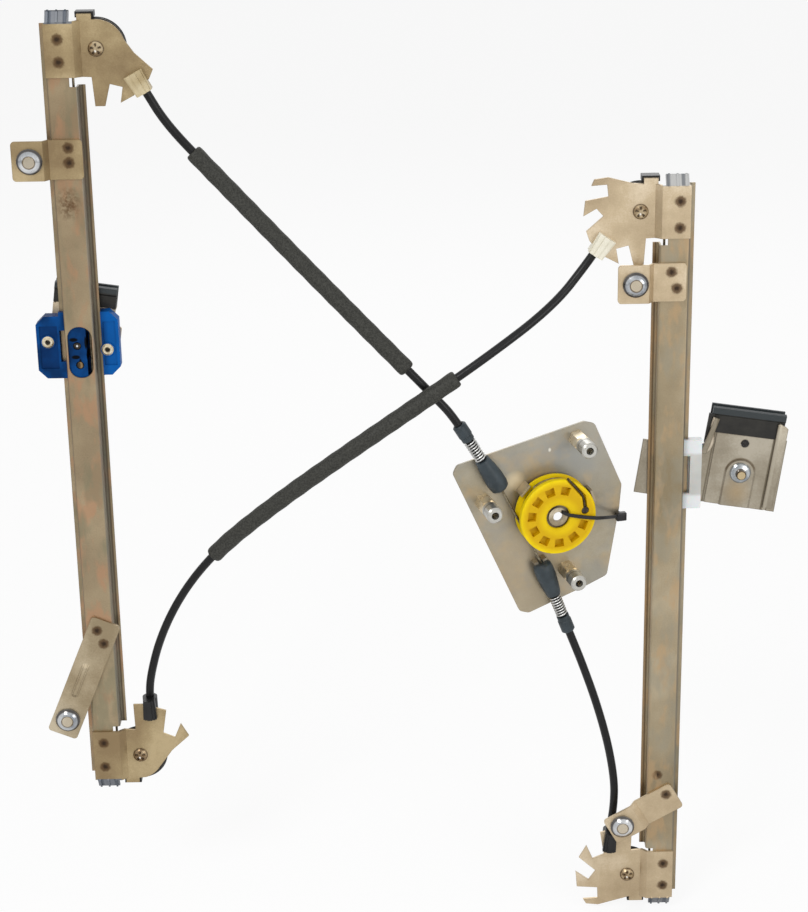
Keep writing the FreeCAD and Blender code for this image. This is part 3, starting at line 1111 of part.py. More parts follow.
nut = turned("right_clamp_nut_body", [
    ("0", f"{raised} - 6"), ("clamp_shank - 0.7", f"{raised} - 6"),
    ("clamp_shank", f"{raised} - 5"), ("clamp_shank", f"{raised} - 2.2"),
    ("clamp_flange - 1.4", f"{raised} - 1.5"), ("clamp_flange", f"{raised} - 0.6"),
    ("clamp_flange", raised), ("clamp_shank - running_gap", raised),
    ("clamp_shank - running_gap", f"{shoe_back} + carrier_sheet"),
    ("clamp_shank + 1.4", f"{shoe_back} + carrier_sheet"),
    ("clamp_shank + 1", f"{shoe_back} + carrier_sheet + 1"), ("0", f"{shoe_back} + carrier_sheet + 1")])
put(nut, *glass_frame("clamp_x", "right_slider_rise - clamp_drop", RIGHT))
keep(nut, "right_clamp_nut")

left_end, right_end = f"{slider_back} + carrier_sheet", f"{shoe_back} + carrier_sheet"
RIVET = [("rivet_bore", "jaw_front - 0.8"), ("rivet_bore + 0.5", "jaw_front - 1.3"),
         ("rivet_radius - 0.2", "jaw_front - 1.3"), ("rivet_radius + 0.9", "jaw_front - 0.3"),
         ("rivet_radius + 0.9", "jaw_front"), ("rivet_radius", "jaw_front"), ("rivet_radius", left_end),
         ("rivet_radius + 0.6", left_end), ("rivet_radius - 0.2", f"{left_end} + 1.2"),
         ("rivet_bore", f"{left_end} + 1.2")]
PIN = [("0", f"{inside} + 1"), ("pin_radius", f"{inside} + 1"), ("pin_radius", right_end),
       ("pin_radius + 1", right_end), ("pin_radius + 0.4", f"{right_end} + 1"), ("0", f"{right_end} + 1")]
for side_name, rail, profile, rivets, nipples in (
        ("left", LEFT, RIVET, LEFT_RIVETS, LEFT_NIPPLES),
        ("right", RIGHT, PIN, RIGHT_RIVETS, RIGHT_NIPPLES)):
    rise = f"{side_name}_slider_rise"
    made = []
    for i, (x, z) in enumerate(rivets, 1):
        rivet = turned(f"{side_name}_slider_rivet_{i}", profile)
        put(rivet, f"{rail['x']} + {x}", WEB, f"{rail['z']} + {rise} + {z}")
        made.append(rivet)
    group(f"{side_name}_slider_rivets", made)
    made = []
    for i, (x, z) in enumerate(nipples, 1):
        nipple = turned(f"{side_name}_cable_nipple_{i}", [
            ("0", f"{inside} + 0.2"), ("nipple_radius - 0.5", f"{inside} + 0.2"),
            ("nipple_radius", f"{inside} + 0.7"), ("nipple_radius", "rail_depth"), ("0", "rail_depth")])
        put(nipple, f"{rail['x']} + {x}", WEB, f"{rail['z']} + {rise} + {z}")
        made.append(nipple)
    group(f"{side_name}_cable_nipples", made)

doc.recompute()
problems = [o.Label for o in doc.Objects if "Invalid" in o.State or "Error" in o.State]
problems += [o.Label for o in nodes if o.Shape.isNull() or not o.Shape.isValid()]
if problems:
    raise ValueError("these came out wrong: " + ", ".join(problems))
os.makedirs("parts", exist_ok=True)
for piece in nodes:
    piece.Shape.exportStep(f"parts/{piece.Label}.step")
    print(f"{piece.Label}: {len(piece.Shape.Solids)} solids, {piece.Shape.Volume:.0f} mm3")
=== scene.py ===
"""Looks of the twin-rail window regulator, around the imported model.

Lengths are in metres. X runs from the left rail to the right one, Y away from the cabin, Z up.
"""
import bmesh
import bpy
import math
from mathutils import Matrix, Quaternion, Vector


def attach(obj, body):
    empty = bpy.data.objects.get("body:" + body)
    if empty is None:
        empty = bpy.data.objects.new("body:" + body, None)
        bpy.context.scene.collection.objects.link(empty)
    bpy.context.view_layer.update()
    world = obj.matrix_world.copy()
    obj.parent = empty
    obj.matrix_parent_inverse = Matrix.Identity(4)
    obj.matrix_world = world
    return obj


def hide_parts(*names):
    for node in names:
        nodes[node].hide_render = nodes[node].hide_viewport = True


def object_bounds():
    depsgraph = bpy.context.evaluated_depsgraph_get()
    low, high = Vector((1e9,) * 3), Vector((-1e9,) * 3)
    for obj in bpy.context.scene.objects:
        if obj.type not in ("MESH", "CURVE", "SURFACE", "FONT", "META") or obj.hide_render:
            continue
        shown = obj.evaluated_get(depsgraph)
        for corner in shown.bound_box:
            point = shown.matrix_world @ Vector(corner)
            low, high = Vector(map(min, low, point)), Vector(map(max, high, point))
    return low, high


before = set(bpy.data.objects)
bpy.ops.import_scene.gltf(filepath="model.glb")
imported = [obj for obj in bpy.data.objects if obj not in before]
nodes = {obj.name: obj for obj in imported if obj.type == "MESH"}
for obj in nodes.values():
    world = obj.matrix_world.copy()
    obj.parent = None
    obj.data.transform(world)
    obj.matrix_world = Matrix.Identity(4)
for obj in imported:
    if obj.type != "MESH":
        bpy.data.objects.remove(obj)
cad_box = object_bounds()

ENDS = ("left_upper", "left_lower", "right_upper", "right_lower")
LEFT_X, RIGHT_X = 0.0225, 0.4007
SLIDER = Vector((LEFT_X, 0.0073, -0.122))
CLAMP = Vector((0.4488, 0.0169, -0.219))
CARRIER_TILT = math.radians(8.6)
DRUM = Vector((0.3245, 0.0135, -0.2411))
DRUM_AXIS = Vector((0.2419, -0.9703, 0))
STUDS = (Vector((0, 0, 0)), Vector((-0.0021, 0, -0.3828)), Vector((0.3759, 0, -0.0853)),
         Vector((0.3741, 0, -0.4717)))
PULLEYS = (Vector((0.0443, 0, 0.0676)), Vector((0.0443, 0, -0.4144)), Vector((0.3789, 0, -0.04)),
           Vector((0.3789, 0, -0.5142)))
SLIDER_RIVETS = (Vector((0.0014, 0, -0.1197)), Vector((0.0393, 0, -0.1252)))


def on_carrier(across, up, depth=0.0):
    """A point of the right glass plate's front, from its clamp, along and up the tilted plate."""
    turn = Matrix.Rotation(CARRIER_TILT, 3, "Y")
    return CLAMP + turn @ Vector((across, depth, up))


# short calls for shader nodes

def linear(colour):
    """Linear values of a colour given as 0 to 255."""
    return tuple(c / 255 / 12.92 if c / 255 <= 0.04045 else ((c / 255 + 0.055) / 1.055) ** 2.4
                 for c in colour) + (1.0,)


class Board:
    """A node tree, and short calls that add nodes to it."""

    def __init__(self, tree):
        self.nodes = tree.nodes
        self.links = tree.links

    def feed(self, given, socket):
        """Link a socket, or set it: colours are given as 0 to 255."""
        if isinstance(given, bpy.types.NodeSocket):
            self.links.new(given, socket)
        elif socket.type == "RGBA":
            socket.default_value = linear(given)
        else:
            socket.default_value = given

    def add(self, kind, settings=(), **inputs):
        node = self.nodes.new(kind)
        for name, setting in dict(settings).items():
            setattr(node, name, setting)
        for name, given in inputs.items():
            self.feed(given, node.inputs[name.replace("_", " ")])
        return node

    def math(self, operation, a, b=0.0, clamp=False):
        node = self.add("ShaderNodeMath", {"operation": operation, "use_clamp": clamp})
        self.feed(a, node.inputs[0])
        self.feed(b, node.inputs[1])
        return node.outputs[0]

    def vector(self, operation, a, b):
        node = self.add("ShaderNodeVectorMath", {"operation": operation})
        self.feed(a, node.inputs[0])
        self.feed(b, node.inputs[1])
        return node.outputs["Value" if operation in ("DOT_PRODUCT", "DISTANCE") else "Vector"]

    def noise(self, place, scale, detail=3.0, roughness=0.5):
        return self.add("ShaderNodeTexNoise", Vector=place, Scale=scale, Detail=detail,
                        Roughness=roughness).outputs["Fac"]

    def fade(self, value, low, high, start=0.0, end=1.0):
        node = self.add("ShaderNodeMapRange", Value=value, From_Min=low, From_Max=high,
                        To_Min=start, To_Max=end)
        return node.outputs["Result"]

    def mix(self, factor, a, b):
        factor_socket, first_colour, second_colour, mixed_colour = 0, 6, 7, 2
        node = self.add("ShaderNodeMix", {"data_type": "RGBA"})
        self.feed(factor, node.inputs[factor_socket])
        self.feed(a, node.inputs[first_colour])
        self.feed(b, node.inputs[second_colour])
        return node.outputs[mixed_colour]

    def most(self, masks):
        """The largest of several masks."""
        total = masks[0]
        for mask in masks[1:]:
            total = self.math("MAXIMUM", total, mask)
        return total

    def bump(self, height, distance, strength):
        return self.add("ShaderNodeBump", Height=height, Distance=distance,
                        Strength=strength).outputs["Normal"]

    def effect(self, name, **inputs):
        """Place one of the shared effects, with this material's values."""
        node = self.add("ShaderNodeGroup", {"node_tree": bpy.data.node_groups[name]})
        for label, given in inputs.items():
            self.feed(given, node.inputs[label.capitalize().replace("_", " ")])
        return node.outputs


SOCKETS = {"vector": "NodeSocketVector", "colour": "NodeSocketColor", "value": "NodeSocketFloat"}


class Effect(Board):
    """A shader node group under way, with named inputs and outputs."""

    def __init__(self, name, inputs, outputs):
        tree = bpy.data.node_groups.new(name, "ShaderNodeTree")
        super().__init__(tree)
        for label, kind in inputs.items():
            tree.interface.new_socket(label, in_out="INPUT", socket_type=SOCKETS[kind])
        for label, kind in outputs.items():
            tree.interface.new_socket(label, in_out="OUTPUT", socket_type=SOCKETS[kind])
        self.given = self.nodes.new("NodeGroupInput").outputs
        self.result = self.nodes.new("NodeGroupOutput").inputs

    def flat_distance(self, place, centre):
        """The distance between two points as seen along Y, and the flat step between them."""
        flat = self.vector("MULTIPLY", self.vector("SUBTRACT", place, centre), (1, 0, 1))
        return self.vector("DISTANCE", flat, (0, 0, 0)), flat


# effects that several materials share

def sheet_tone():
    """Cloudy, faintly streaked colour of rolled and plated sheet."""
    e = Effect("sheet tone", {"Place": "vector", "Streak": "vector", "Dark": "colour",
                              "Middle": "colour", "Light": "colour", "Cloud scale": "value"},
               {"Colour": "colour", "Cloud": "value", "Fine": "value"})
    place = e.given["Place"]
    cloud = e.noise(place, e.given["Cloud scale"], 4, 0.55)
    stretched = e.add("ShaderNodeMapping", Vector=place, Scale=e.given["Streak"]).outputs["Vector"]
    streak = e.noise(stretched, 30, 3, 0.5)
    fine = e.noise(place, 1100, 2, 0.6)
    tone = e.math("ADD", e.math("MULTIPLY", cloud, 0.62), e.math("MULTIPLY", streak, 0.26))
    tone = e.math("ADD", tone, e.math("MULTIPLY", fine, 0.12))
    colour = e.mix(e.fade(tone, 0.4, 0.5), e.given["Dark"], e.given["Middle"])
    colour = e.mix(e.fade(tone, 0.5, 0.6), colour, e.given["Light"])
    for given, label in ((colour, "Colour"), (cloud, "Cloud"), (fine, "Fine")):
        e.feed(given, e.result[label])


def edge_line():
    """A mask along the edges of sheet, where the colour is darkened."""
    e = Effect("edge line", {"Radius": "value"}, {"Line": "value"})
    rounded = e.add("ShaderNodeBevel", {"samples": 6}, Radius=e.given["Radius"]).outputs["Normal"]
    straight = e.add("ShaderNodeNewGeometry").outputs["Normal"]
    bend = e.math("SUBTRACT", 1.0, e.vector("DOT_PRODUCT", rounded, straight))
    e.feed(e.fade(bend, 0.03, 0.3), e.result["Line"])


def weld_mark():
    """A spot weld: a ragged burnt ring and a darker pressed middle."""
    e = Effect("weld mark", {"Place": "vector", "Centre": "vector"}, {"Burn": "value", "Pit": "value"})
    away = e.flat_distance(e.given["Place"], e.given["Centre"])[0]
    ragged = e.math("MULTIPLY", e.math("SUBTRACT", e.noise(e.given["Place"], 520, 3, 0.6), 0.5), 0.0022)
    away = e.math("ADD", away, ragged)
    e.feed(e.fade(away, 0.0028, 0.0042, 1.0, 0.0), e.result["Burn"])
    e.feed(e.fade(away, 0.0008, 0.0024, 1.0, 0.0), e.result["Pit"])


def patch():
    """A soft-edged oval round a point; the size gives its half widths."""
    e = Effect("patch", {"Place": "vector", "Centre": "vector", "Size": "vector", "Soft": "value"},
               {"Mask": "value"})
    apart = e.vector("SUBTRACT", e.given["Place"], e.given["Centre"])
    away = e.vector("DISTANCE", e.vector("DIVIDE", apart, e.given["Size"]), (0, 0, 0))
    low = e.math("SUBTRACT", 1.0, e.given["Soft"])
    high = e.math("ADD", 1.0, e.given["Soft"])
    e.feed(e.fade(away, low, high, 1.0, 0.0), e.result["Mask"])


def stripe():
    """A line or band: points within half its width of a plane."""
    e = Effect("stripe", {"Place": "vector", "Point": "vector", "Across": "vector", "Half": "value",
                          "Soft": "value"}, {"Mask": "value", "Beyond": "value"})
    side = e.vector("DOT_PRODUCT", e.vector("SUBTRACT", e.given["Place"], e.given["Point"]),
                    e.given["Across"])
    end = e.math("ADD", e.given["Half"], e.given["Soft"])
    e.feed(e.fade(e.math("ABSOLUTE", side), e.given["Half"], end, 1.0, 0.0), e.result["Mask"])
    e.feed(e.fade(side, 0.0, e.given["Soft"]), e.result["Beyond"])


def ring():
    """A ring round a centre, as seen along Y, for rims and seats of round heads."""
    e = Effect("ring", {"Place": "vector", "Centre": "vector", "Radius": "value", "Half": "value"},
               {"Mask": "value", "Inside": "value"})
    away = e.math("SUBTRACT", e.flat_distance(e.given["Place"], e.given["Centre"])[0], e.given["Radius"])
    end = e.math("MULTIPLY", e.given["Half"], 2.0)
    e.feed(e.fade(e.math("ABSOLUTE", away), e.given["Half"], end, 1.0, 0.0), e.result["Mask"])
    e.feed(e.fade(away, e.math("MULTIPLY", e.given["Half"], -1.0), 0.0, 1.0, 0.0), e.result["Inside"])


def peened_star():
    """Five punched dimples round a riveted pin's middle."""
    e = Effect("peened star", {"Place": "vector", "Centre": "vector"}, {"Mask": "value"})
    away, flat = e.flat_distance(e.given["Place"], e.given["Centre"])
    parts = e.add("ShaderNodeSeparateXYZ", Vector=flat).outputs
    angle = e.math("ARCTAN2", parts["Z"], parts["X"])
    petal = e.math("COSINE", e.math("MULTIPLY", e.math("SUBTRACT", angle, math.radians(20)), 5.0))
    middle = e.fade(e.math("ABSOLUTE", e.math("SUBTRACT", away, 0.0025)), 0.0008, 0.0014, 1.0, 0.0)
    e.feed(e.math("MULTIPLY", e.fade(petal, 0.1, 0.6), middle, True), e.result["Mask"])


def moulded_skin():
    """Faint cloudiness and the fine matt grain of moulded plastic and rubber."""
    e = Effect("moulded skin", {"Place": "vector", "Dark": "colour", "Light": "colour",
                                "Cloud scale": "value", "Grain scale": "value"},
               {"Colour": "colour", "Grain": "value"})
    cloud = e.noise(e.given["Place"], e.given["Cloud scale"], 3, 0.5)
    e.feed(e.mix(e.fade(cloud, 0.35, 0.65), e.given["Dark"], e.given["Light"]), e.result["Colour"])
    e.feed(e.noise(e.given["Place"], e.given["Grain scale"], 2, 0.5), e.result["Grain"])


for build in (sheet_tone, edge_line, weld_mark, patch, stripe, ring, peened_star, moulded_skin):
    build()


# materials

class Finish(Board):
    """A material under way: its colour, roughness and bump build up, and done() joins them."""

    def __init__(self, name, metallic, roughness, specular=0.5):
        self.material = bpy.data.materials.new(name)
        self.material.use_nodes = True
        super().__init__(self.material.node_tree)
        self.shader = self.nodes["Principled BSDF"]
        self.shader.inputs["Metallic"].default_value = metallic
        self.shader.inputs["Specular IOR Level"].default_value = specular
        self.place = self.add("ShaderNodeTexCoord").outputs["Object"]
        self.roughness = roughness
        self.colour = None
        self.normal = None

    def paint(self, mask, colour, strength=1.0):
        """Lay a colour over what is there, where the mask says."""
        if strength != 1.0:
            mask = self.math("MULTIPLY", mask, strength, True)
        self.colour = self.mix(mask, self.colour, colour)
        return mask

    def oval_mask(self, centre, size, soft):
        return self.effect("patch", place=self.place, centre=centre, size=size, soft=soft)["Mask"]

    def band_mask(self, point, across, half, soft):
        return self.effect("stripe", place=self.place, point=point, across=across, half=half,
                           soft=soft)["Mask"]

    def past_mask(self, point, across, soft):
        """The mask of all that lies past a plane."""
        return self.effect("stripe", place=self.place, point=point, across=across, half=0.0,
                           soft=soft)["Beyond"]

    def ring_masks(self, centre, radius, half):
        """The masks of a ring and of all that lies inside it."""
        return self.effect("ring", place=self.place, centre=centre, radius=radius, half=half)

    def patch(self, centre, size, colour, strength=1.0, soft=0.4):
        return self.paint(self.oval_mask(centre, size, soft), colour, strength)

    def stripe(self, point, across, half, colour, strength=1.0, soft=0.0006):
        return self.paint(self.band_mask(point, across, half, soft), colour, strength)

    def beyond(self, point, across, colour, strength=1.0, soft=0.001):
        return self.paint(self.past_mask(point, across, soft), colour, strength)

    def blotches(self, colour, strength, scale):
        """Paint upright blotches."""
        tall = self.vector("MULTIPLY", self.place, (1, 1, 0.4))
        self.paint(self.fade(self.noise(tall, scale, 3, 0.6), 0.5, 0.62), colour, strength)

    def done(self):
        self.feed(self.colour, self.shader.inputs["Base Color"])
        self.feed(self.roughness, self.shader.inputs["Roughness"])
        if self.normal is not None:
            self.feed(self.normal, self.shader.inputs["Normal"])
        return self.material


UP, DOWN = (0, 0, 1), (0, 0, -1)
RIGHTWARD, LEFTWARD, REARWARD = (1, 0, 0), (-1, 0, 0), (0, 1, 0)
EVERYWHERE = 9.0
BURNT, SOOT, EDGE = (86, 62, 40), (42, 30, 22), (72, 60, 44)


def zinc(name, dark, middle, light, streak=(1, 1, 0.12), cloud=26.0, rough=0.42, welds=(),
         edge=0.55, edge_width=0.0007, metallic=0.8):
    """Zinc-plated sheet: soft clouds, faint rolling streaks, dark cut edges, burnt spot welds."""
    f = Finish(name, metallic, rough)
    tone = f.effect("sheet tone", place=f.place, streak=streak, dark=dark, middle=middle, light=light,
                    cloud_scale=cloud)
    f.colour = tone["Colour"]
    f.roughness = f.fade(tone["Cloud"], 0.3, 0.7, rough - 0.07, rough + 0.09)
    height = f.math("MULTIPLY", tone["Fine"], 0.35)
    if edge:
        f.paint(f.effect("edge line", radius=edge_width)["Line"], EDGE, edge)
    if welds:
        marks = [f.effect("weld mark", place=f.place, centre=centre) for centre in welds]
        f.paint(f.most([mark["Burn"] for mark in marks]), BURNT, 0.85)
        pits = f.paint(f.most([mark["Pit"] for mark in marks]), SOOT, 0.85)
        f.roughness = f.math("ADD", f.roughness, f.math("MULTIPLY", pits, 0.15))
        height = f.math("SUBTRACT", height, f.math("MULTIPLY", pits, 2.0))
    f.normal = f.bump(height, 0.00016, 0.5)
    return f


def steel(name, rough, dark, middle, light, cloud):
    """Bright steel, softly clouded."""
    f = Finish(name, 0.95, rough)
    f.colour = f.effect("sheet tone", place=f.place, streak=(1, 1, 1), dark=dark, middle=middle,
                        light=light, cloud_scale=cloud)["Colour"]
    return f


def plastic(name, dark, light, rough=0.45, grain=0.3, cloud=90.0, grain_scale=1600.0, specular=0.4):
    """Moulded plastic or rubber: slight cloudiness and a fine matt grain."""
    f = Finish(name, 0.0, rough, specular)
    skin = f.effect("moulded skin", place=f.place, dark=dark, light=light, cloud_scale=cloud,
                    grain_scale=grain_scale)
    f.colour = skin["Colour"]
    f.roughness = f.fade(skin["Grain"], 0.3, 0.7, rough - 0.06, rough + 0.06)
    f.normal = f.bump(skin["Grain"], 0.0001, grain)
    return f


def dress(finish, *names):
    """Give CAD nodes a finish in place of their packed one."""
    material = finish.done()
    for name in names:
        nodes[name].data.materials.clear()
        nodes[name].data.materials.append(material)
    return material


def fold_lines(f, x, sides, colour):
    """Thin dark lines along a rail's folds."""
    for side in sides:
        f.stripe((x + side, 0, 0), RIGHTWARD, 0.00025, colour, 0.7)


def left_rail_zinc():
    """Browner blotched sheet, darker above, with a painted blue-grey reflection on a fold and a rough
    brown patch.
    """
    f = zinc("left rail zinc", (140, 123, 98), (161, 144, 116), (181, 164, 134), cloud=15.0,
             edge=0.8, edge_width=0.001)
    f.blotches((180, 138, 106), 0.65, 110)
    f.blotches((128, 124, 100), 0.55, 70)
    f.beyond((0, 0, -0.25), UP, (132, 110, 80), 0.25, 0.3)
    # painted reflection: the blue-grey sheen on the fold's bend
    f.stripe((LEFT_X + 0.0098, 0, 0), RIGHTWARD, 0.0012, (112, 114, 110), 0.55)
    fold_lines(f, LEFT_X, (-0.0096, 0.0112), (76, 62, 44))
    rough = f.oval_mask((0.0215, 0, -0.0285), (0.006, EVERYWHERE, 0.008), 0.5)
    speckle = f.fade(f.noise(f.place, 420, 3, 0.6), 0.4, 0.6)
    f.paint(f.math("MULTIPLY", rough, speckle), (92, 64, 40), 0.75)
    return f


def right_rail_zinc():
    """Beige blotched sheet with thin dark lines along its folds and one burnt mark low down."""
    f = zinc("right rail zinc", (142, 128, 102), (160, 145, 118), (178, 164, 138), cloud=15.0,
             welds=[(0.3978, 0, -0.4355)])
    f.blotches((184, 154, 116), 0.6, 100)
    f.blotches((150, 146, 130), 0.45, 75)
    f.beyond((RIGHT_X - 0.0104, 0, 0), LEFTWARD, (150, 112, 70), 0.45, 0.0006)
    f.stripe((RIGHT_X + 0.0098, 0, 0), RIGHTWARD, 0.001, (128, 124, 112), 0.5)
    fold_lines(f, RIGHT_X, (-0.0112, 0.0096), (84, 70, 50))
    return f


def bracket_zinc(name, tones, welds, rail_end):
    """Bracket sheet; on the tab that holds the rail's end a painted reflection, blue-grey or pale, two
    dark painted reflection stripes and painted shade at its tip.
    """
    f = zinc(name, *tones, welds=welds)
    outward = Vector(UP if "upper" in name else DOWN)
    rail_end = Vector(rail_end)
    soft = 0.0005
    tab = f.band_mask(rail_end, RIGHTWARD, 0.0085, 0.0003)
    held = f.past_mask(rail_end - outward * 0.0037, outward, soft)
    tip = f.past_mask(rail_end + outward * 0.0034, outward, soft)
    # painted reflection off the tab's bend, pale on the right upper tab and blue-grey on the others
    bend_reflection = (176, 181, 186) if "right upper" in name else (102, 114, 130)
    # the held part gets the painted reflection, the tip gets painted shade
    for past, colour in ((held, bend_reflection), (tip, (36, 40, 46))):
        f.paint(f.math("MULTIPLY", past, tab), colour, 0.8)
    # two dark painted reflection stripes on the held part
    for side in (-0.0052, 0.0042):
        groove = f.band_mask((rail_end.x + side, 0, 0), RIGHTWARD, 0.0008, soft)
        f.paint(f.math("MULTIPLY", held, groove), (58, 66, 78), 0.6)
    return f


def plate_zinc():
    """The drum plate: smooth grey-beige, blue-grey above, warm below left, with two pale spots."""
    f = zinc("plate zinc", (146, 136, 116), (161, 152, 132), (174, 165, 146), streak=(0.4, 0.4, 1.4),
             cloud=22.0, rough=0.36, edge=0.8)
    f.patch((0.336, 0.0135, -0.203), (0.03, EVERYWHERE, 0.02), (146, 148, 146), 0.7, 0.8)
    f.patch((0.302, 0.0135, -0.285), (0.022, EVERYWHERE, 0.045), (182, 166, 140), 0.6, 0.8)
    f.paint(f.fade(f.noise(f.place, 55, 3, 0.6), 0.52, 0.68), (186, 162, 126), 0.5)
    f.paint(f.fade(f.noise(f.place, 38, 3, 0.6), 0.5, 0.66), (138, 142, 142), 0.35)
    f.patch((0.3232, 0.0135, -0.1997), (0.0008, EVERYWHERE, 0.0012), (228, 224, 214), 0.85)
    f.patch((0.3003, 0.0025, -0.2193), (0.006, 0.012, 0.006), (216, 200, 168), 0.75)
    return f


def pivot_zinc():
    """The drum's hub: a bright washer face with painted shade in the gap round it."""
    f = zinc("pivot zinc", (132, 118, 94), (158, 144, 118), (196, 184, 160), cloud=120.0, rough=0.3,
             edge_width=0.0005)
    # painted shade in the clearance gap round the hub
    gap_shade = f.ring_masks(DRUM + DRUM_AXIS * 0.0145, 0.0072, 0.0006)["Mask"]
    f.paint(gap_shade, (66, 54, 38), 0.7)
    return f


def left_carrier_zinc():
    """The left glass plate: cream tabs, with painted shade behind the rivets' bores."""
    f = zinc("left carrier zinc", (196, 178, 150), (214, 198, 170), (232, 220, 198), cloud=60.0)
    # painted shade in the rivets' bores
    for centre in SLIDER_RIVETS:
        f.patch(centre, (0.0018, EVERYWHERE, 0.0018), (26, 18, 14), 1.0, 0.15)
    return f


def carrier_zinc():
    """The right glass plate: greyer sheet with thin dark lines along its folded sides, a painted
    highlight beside the right fold and painted shade round its bow.
    """
    f = zinc("carrier zinc", (136, 127, 110), (156, 147, 130), (178, 170, 154), cloud=30.0, rough=0.34,
             edge=0.9, edge_width=0.0013)
    across = (math.cos(CARRIER_TILT), 0, -math.sin(CARRIER_TILT))
    f.stripe(on_carrier(0.0182, 0), across, 0.0004, (82, 72, 54), 0.75)
    # painted highlight on the lit half of the right fold's ridge
    f.stripe(on_carrier(0.0205, 0), across, 0.0006, (186, 178, 160), 0.5)
    f.stripe(on_carrier(-0.0212, 0), across, 0.0003, (96, 86, 68), 0.6)
    # painted shade along the bow above the clamp
    bow = f.ring_masks(on_carrier(0.0, -0.0002), 0.0096, 0.0005)["Mask"]
    f.paint(f.math("MULTIPLY", bow, f.past_mask(CLAMP, UP, 0.003)), (98, 82, 58), 0.6)
    f.patch(on_carrier(0, -0.013), (0.006, EVERYWHERE, 0.007), (178, 150, 106), 0.45, 0.8)
    return f


def stud_steel():
    """Bright domes clouded with painted reflections, painted shade in a ring at the seat and a painted
    tan reflection on the flat in the middle.
    """
    # the clouded steel tones stand for painted reflections
    f = steel("stud steel", 0.16, (148, 152, 158), (184, 187, 190), (216, 217, 218), cloud=60.0)
    seats = [f.ring_masks(centre, 0.0075, 0.0005) for centre in STUDS]
    flats = [f.ring_masks(centre, 0.0039, 0.00022) for centre in STUDS]
    # painted tan reflection on each flat, then its thin dark outline
    f.paint(f.most([flat["Inside"] for flat in flats]), (206, 190, 160), 0.75)
    f.paint(f.most([flat["Mask"] for flat in flats]), (112, 98, 78), 0.75)
    # painted shade in the ring at each head's seat
    f.paint(f.most([seat["Mask"] for seat in seats]), (60, 52, 44), 0.85)
    return f


def nut_steel():
    """The clamp nut: a bluish dome with a brassy middle in a dark groove."""
    f = steel("nut steel", 0.2, (136, 142, 148), (168, 172, 174), (204, 208, 210), cloud=160.0)
    hub = f.ring_masks(CLAMP, 0.0031, 0.0003)
    f.paint(hub["Inside"], (192, 166, 114), 0.8)
    f.paint(hub["Mask"], (92, 72, 46), 0.85)
    f.paint(f.ring_masks(CLAMP, 0.0066, 0.00025)["Mask"], (92, 88, 76), 0.7)
    return f


def pulley_rivet_zinc():
    """Tan rivet heads with punched dark dimples, a small glint and a dark seat."""
    f = zinc("pulley rivet zinc", (126, 104, 78), (152, 130, 100), (196, 178, 146), cloud=220.0,
             edge=0.0, rough=0.3)
    stars = [f.effect("peened star", place=f.place, centre=centre)["Mask"] for centre in PULLEYS]
    f.paint(f.most(stars), (58, 44, 32), 0.85)
    glint = Vector((-0.0003, 0, -0.0013))
    for centre in PULLEYS:
        f.patch(centre + glint, (0.0006, EVERYWHERE, 0.0007), (250, 246, 236))
    seats = [f.ring_masks(centre, 0.0048, 0.0003)["Mask"] for centre in PULLEYS]
    f.paint(f.most(seats), (78, 64, 46), 0.7)
    return f


def slider_rivet_zinc():
    """Cream flanged rivets with painted shade in their bores."""
    f = zinc("slider rivet zinc", (178, 160, 128), (212, 198, 168), (236, 226, 204), cloud=220.0,
             edge=0.3, rough=0.3)
    for centre in SLIDER_RIVETS:
        # painted shade in the bore, kept rough so it shows no sheen
        bore_shade = f.patch(centre, (0.0016, EVERYWHERE, 0.0016), (26, 18, 14), 1.0, 0.15)
        f.roughness = f.math("MAXIMUM", f.roughness, bore_shade)
    return f


def standoff_zinc():
    """Standoffs: a pale cream foot, a grey collar and a dark ring at its end."""
    f = zinc("standoff zinc", (222, 204, 170), (236, 221, 192), (248, 240, 220), cloud=90.0,
             rough=0.3, edge=0.4)
    collar, collar_end = DRUM + DRUM_AXIS * 0.0148, DRUM + DRUM_AXIS * 0.0184
    f.beyond(collar, DRUM_AXIS, (180, 180, 176), 0.9, 0.0008)
    f.stripe(collar_end, DRUM_AXIS, 0.0003, (74, 68, 58), 0.7, 0.0003)
    return f


def drum_plastic():
    """Lemon-yellow drum: painted shade in its pockets and in a band round them, and painted shade low
    round its hub.
    """
    f = plastic("drum plastic", (232, 202, 0), (246, 216, 4), 0.5, 0.2, specular=0.18)
    face, below_face = DRUM + DRUM_AXIS * 0.0184, DRUM + DRUM_AXIS * 0.0176
    band = f.ring_masks(face, 0.0182, 0.0036)
    f.paint(band["Mask"], (216, 182, 0), 0.28)
    deep = f.past_mask(below_face, -DRUM_AXIS, 0.0014)
    # painted shade deep in the pockets
    f.paint(f.math("MULTIPLY", deep, band["Mask"]), (198, 148, 0), 0.65)
    # painted shade low in the hollow round the hub
    f.paint(f.math("MULTIPLY", deep, band["Inside"]), (206, 164, 0), 0.5)
    return f


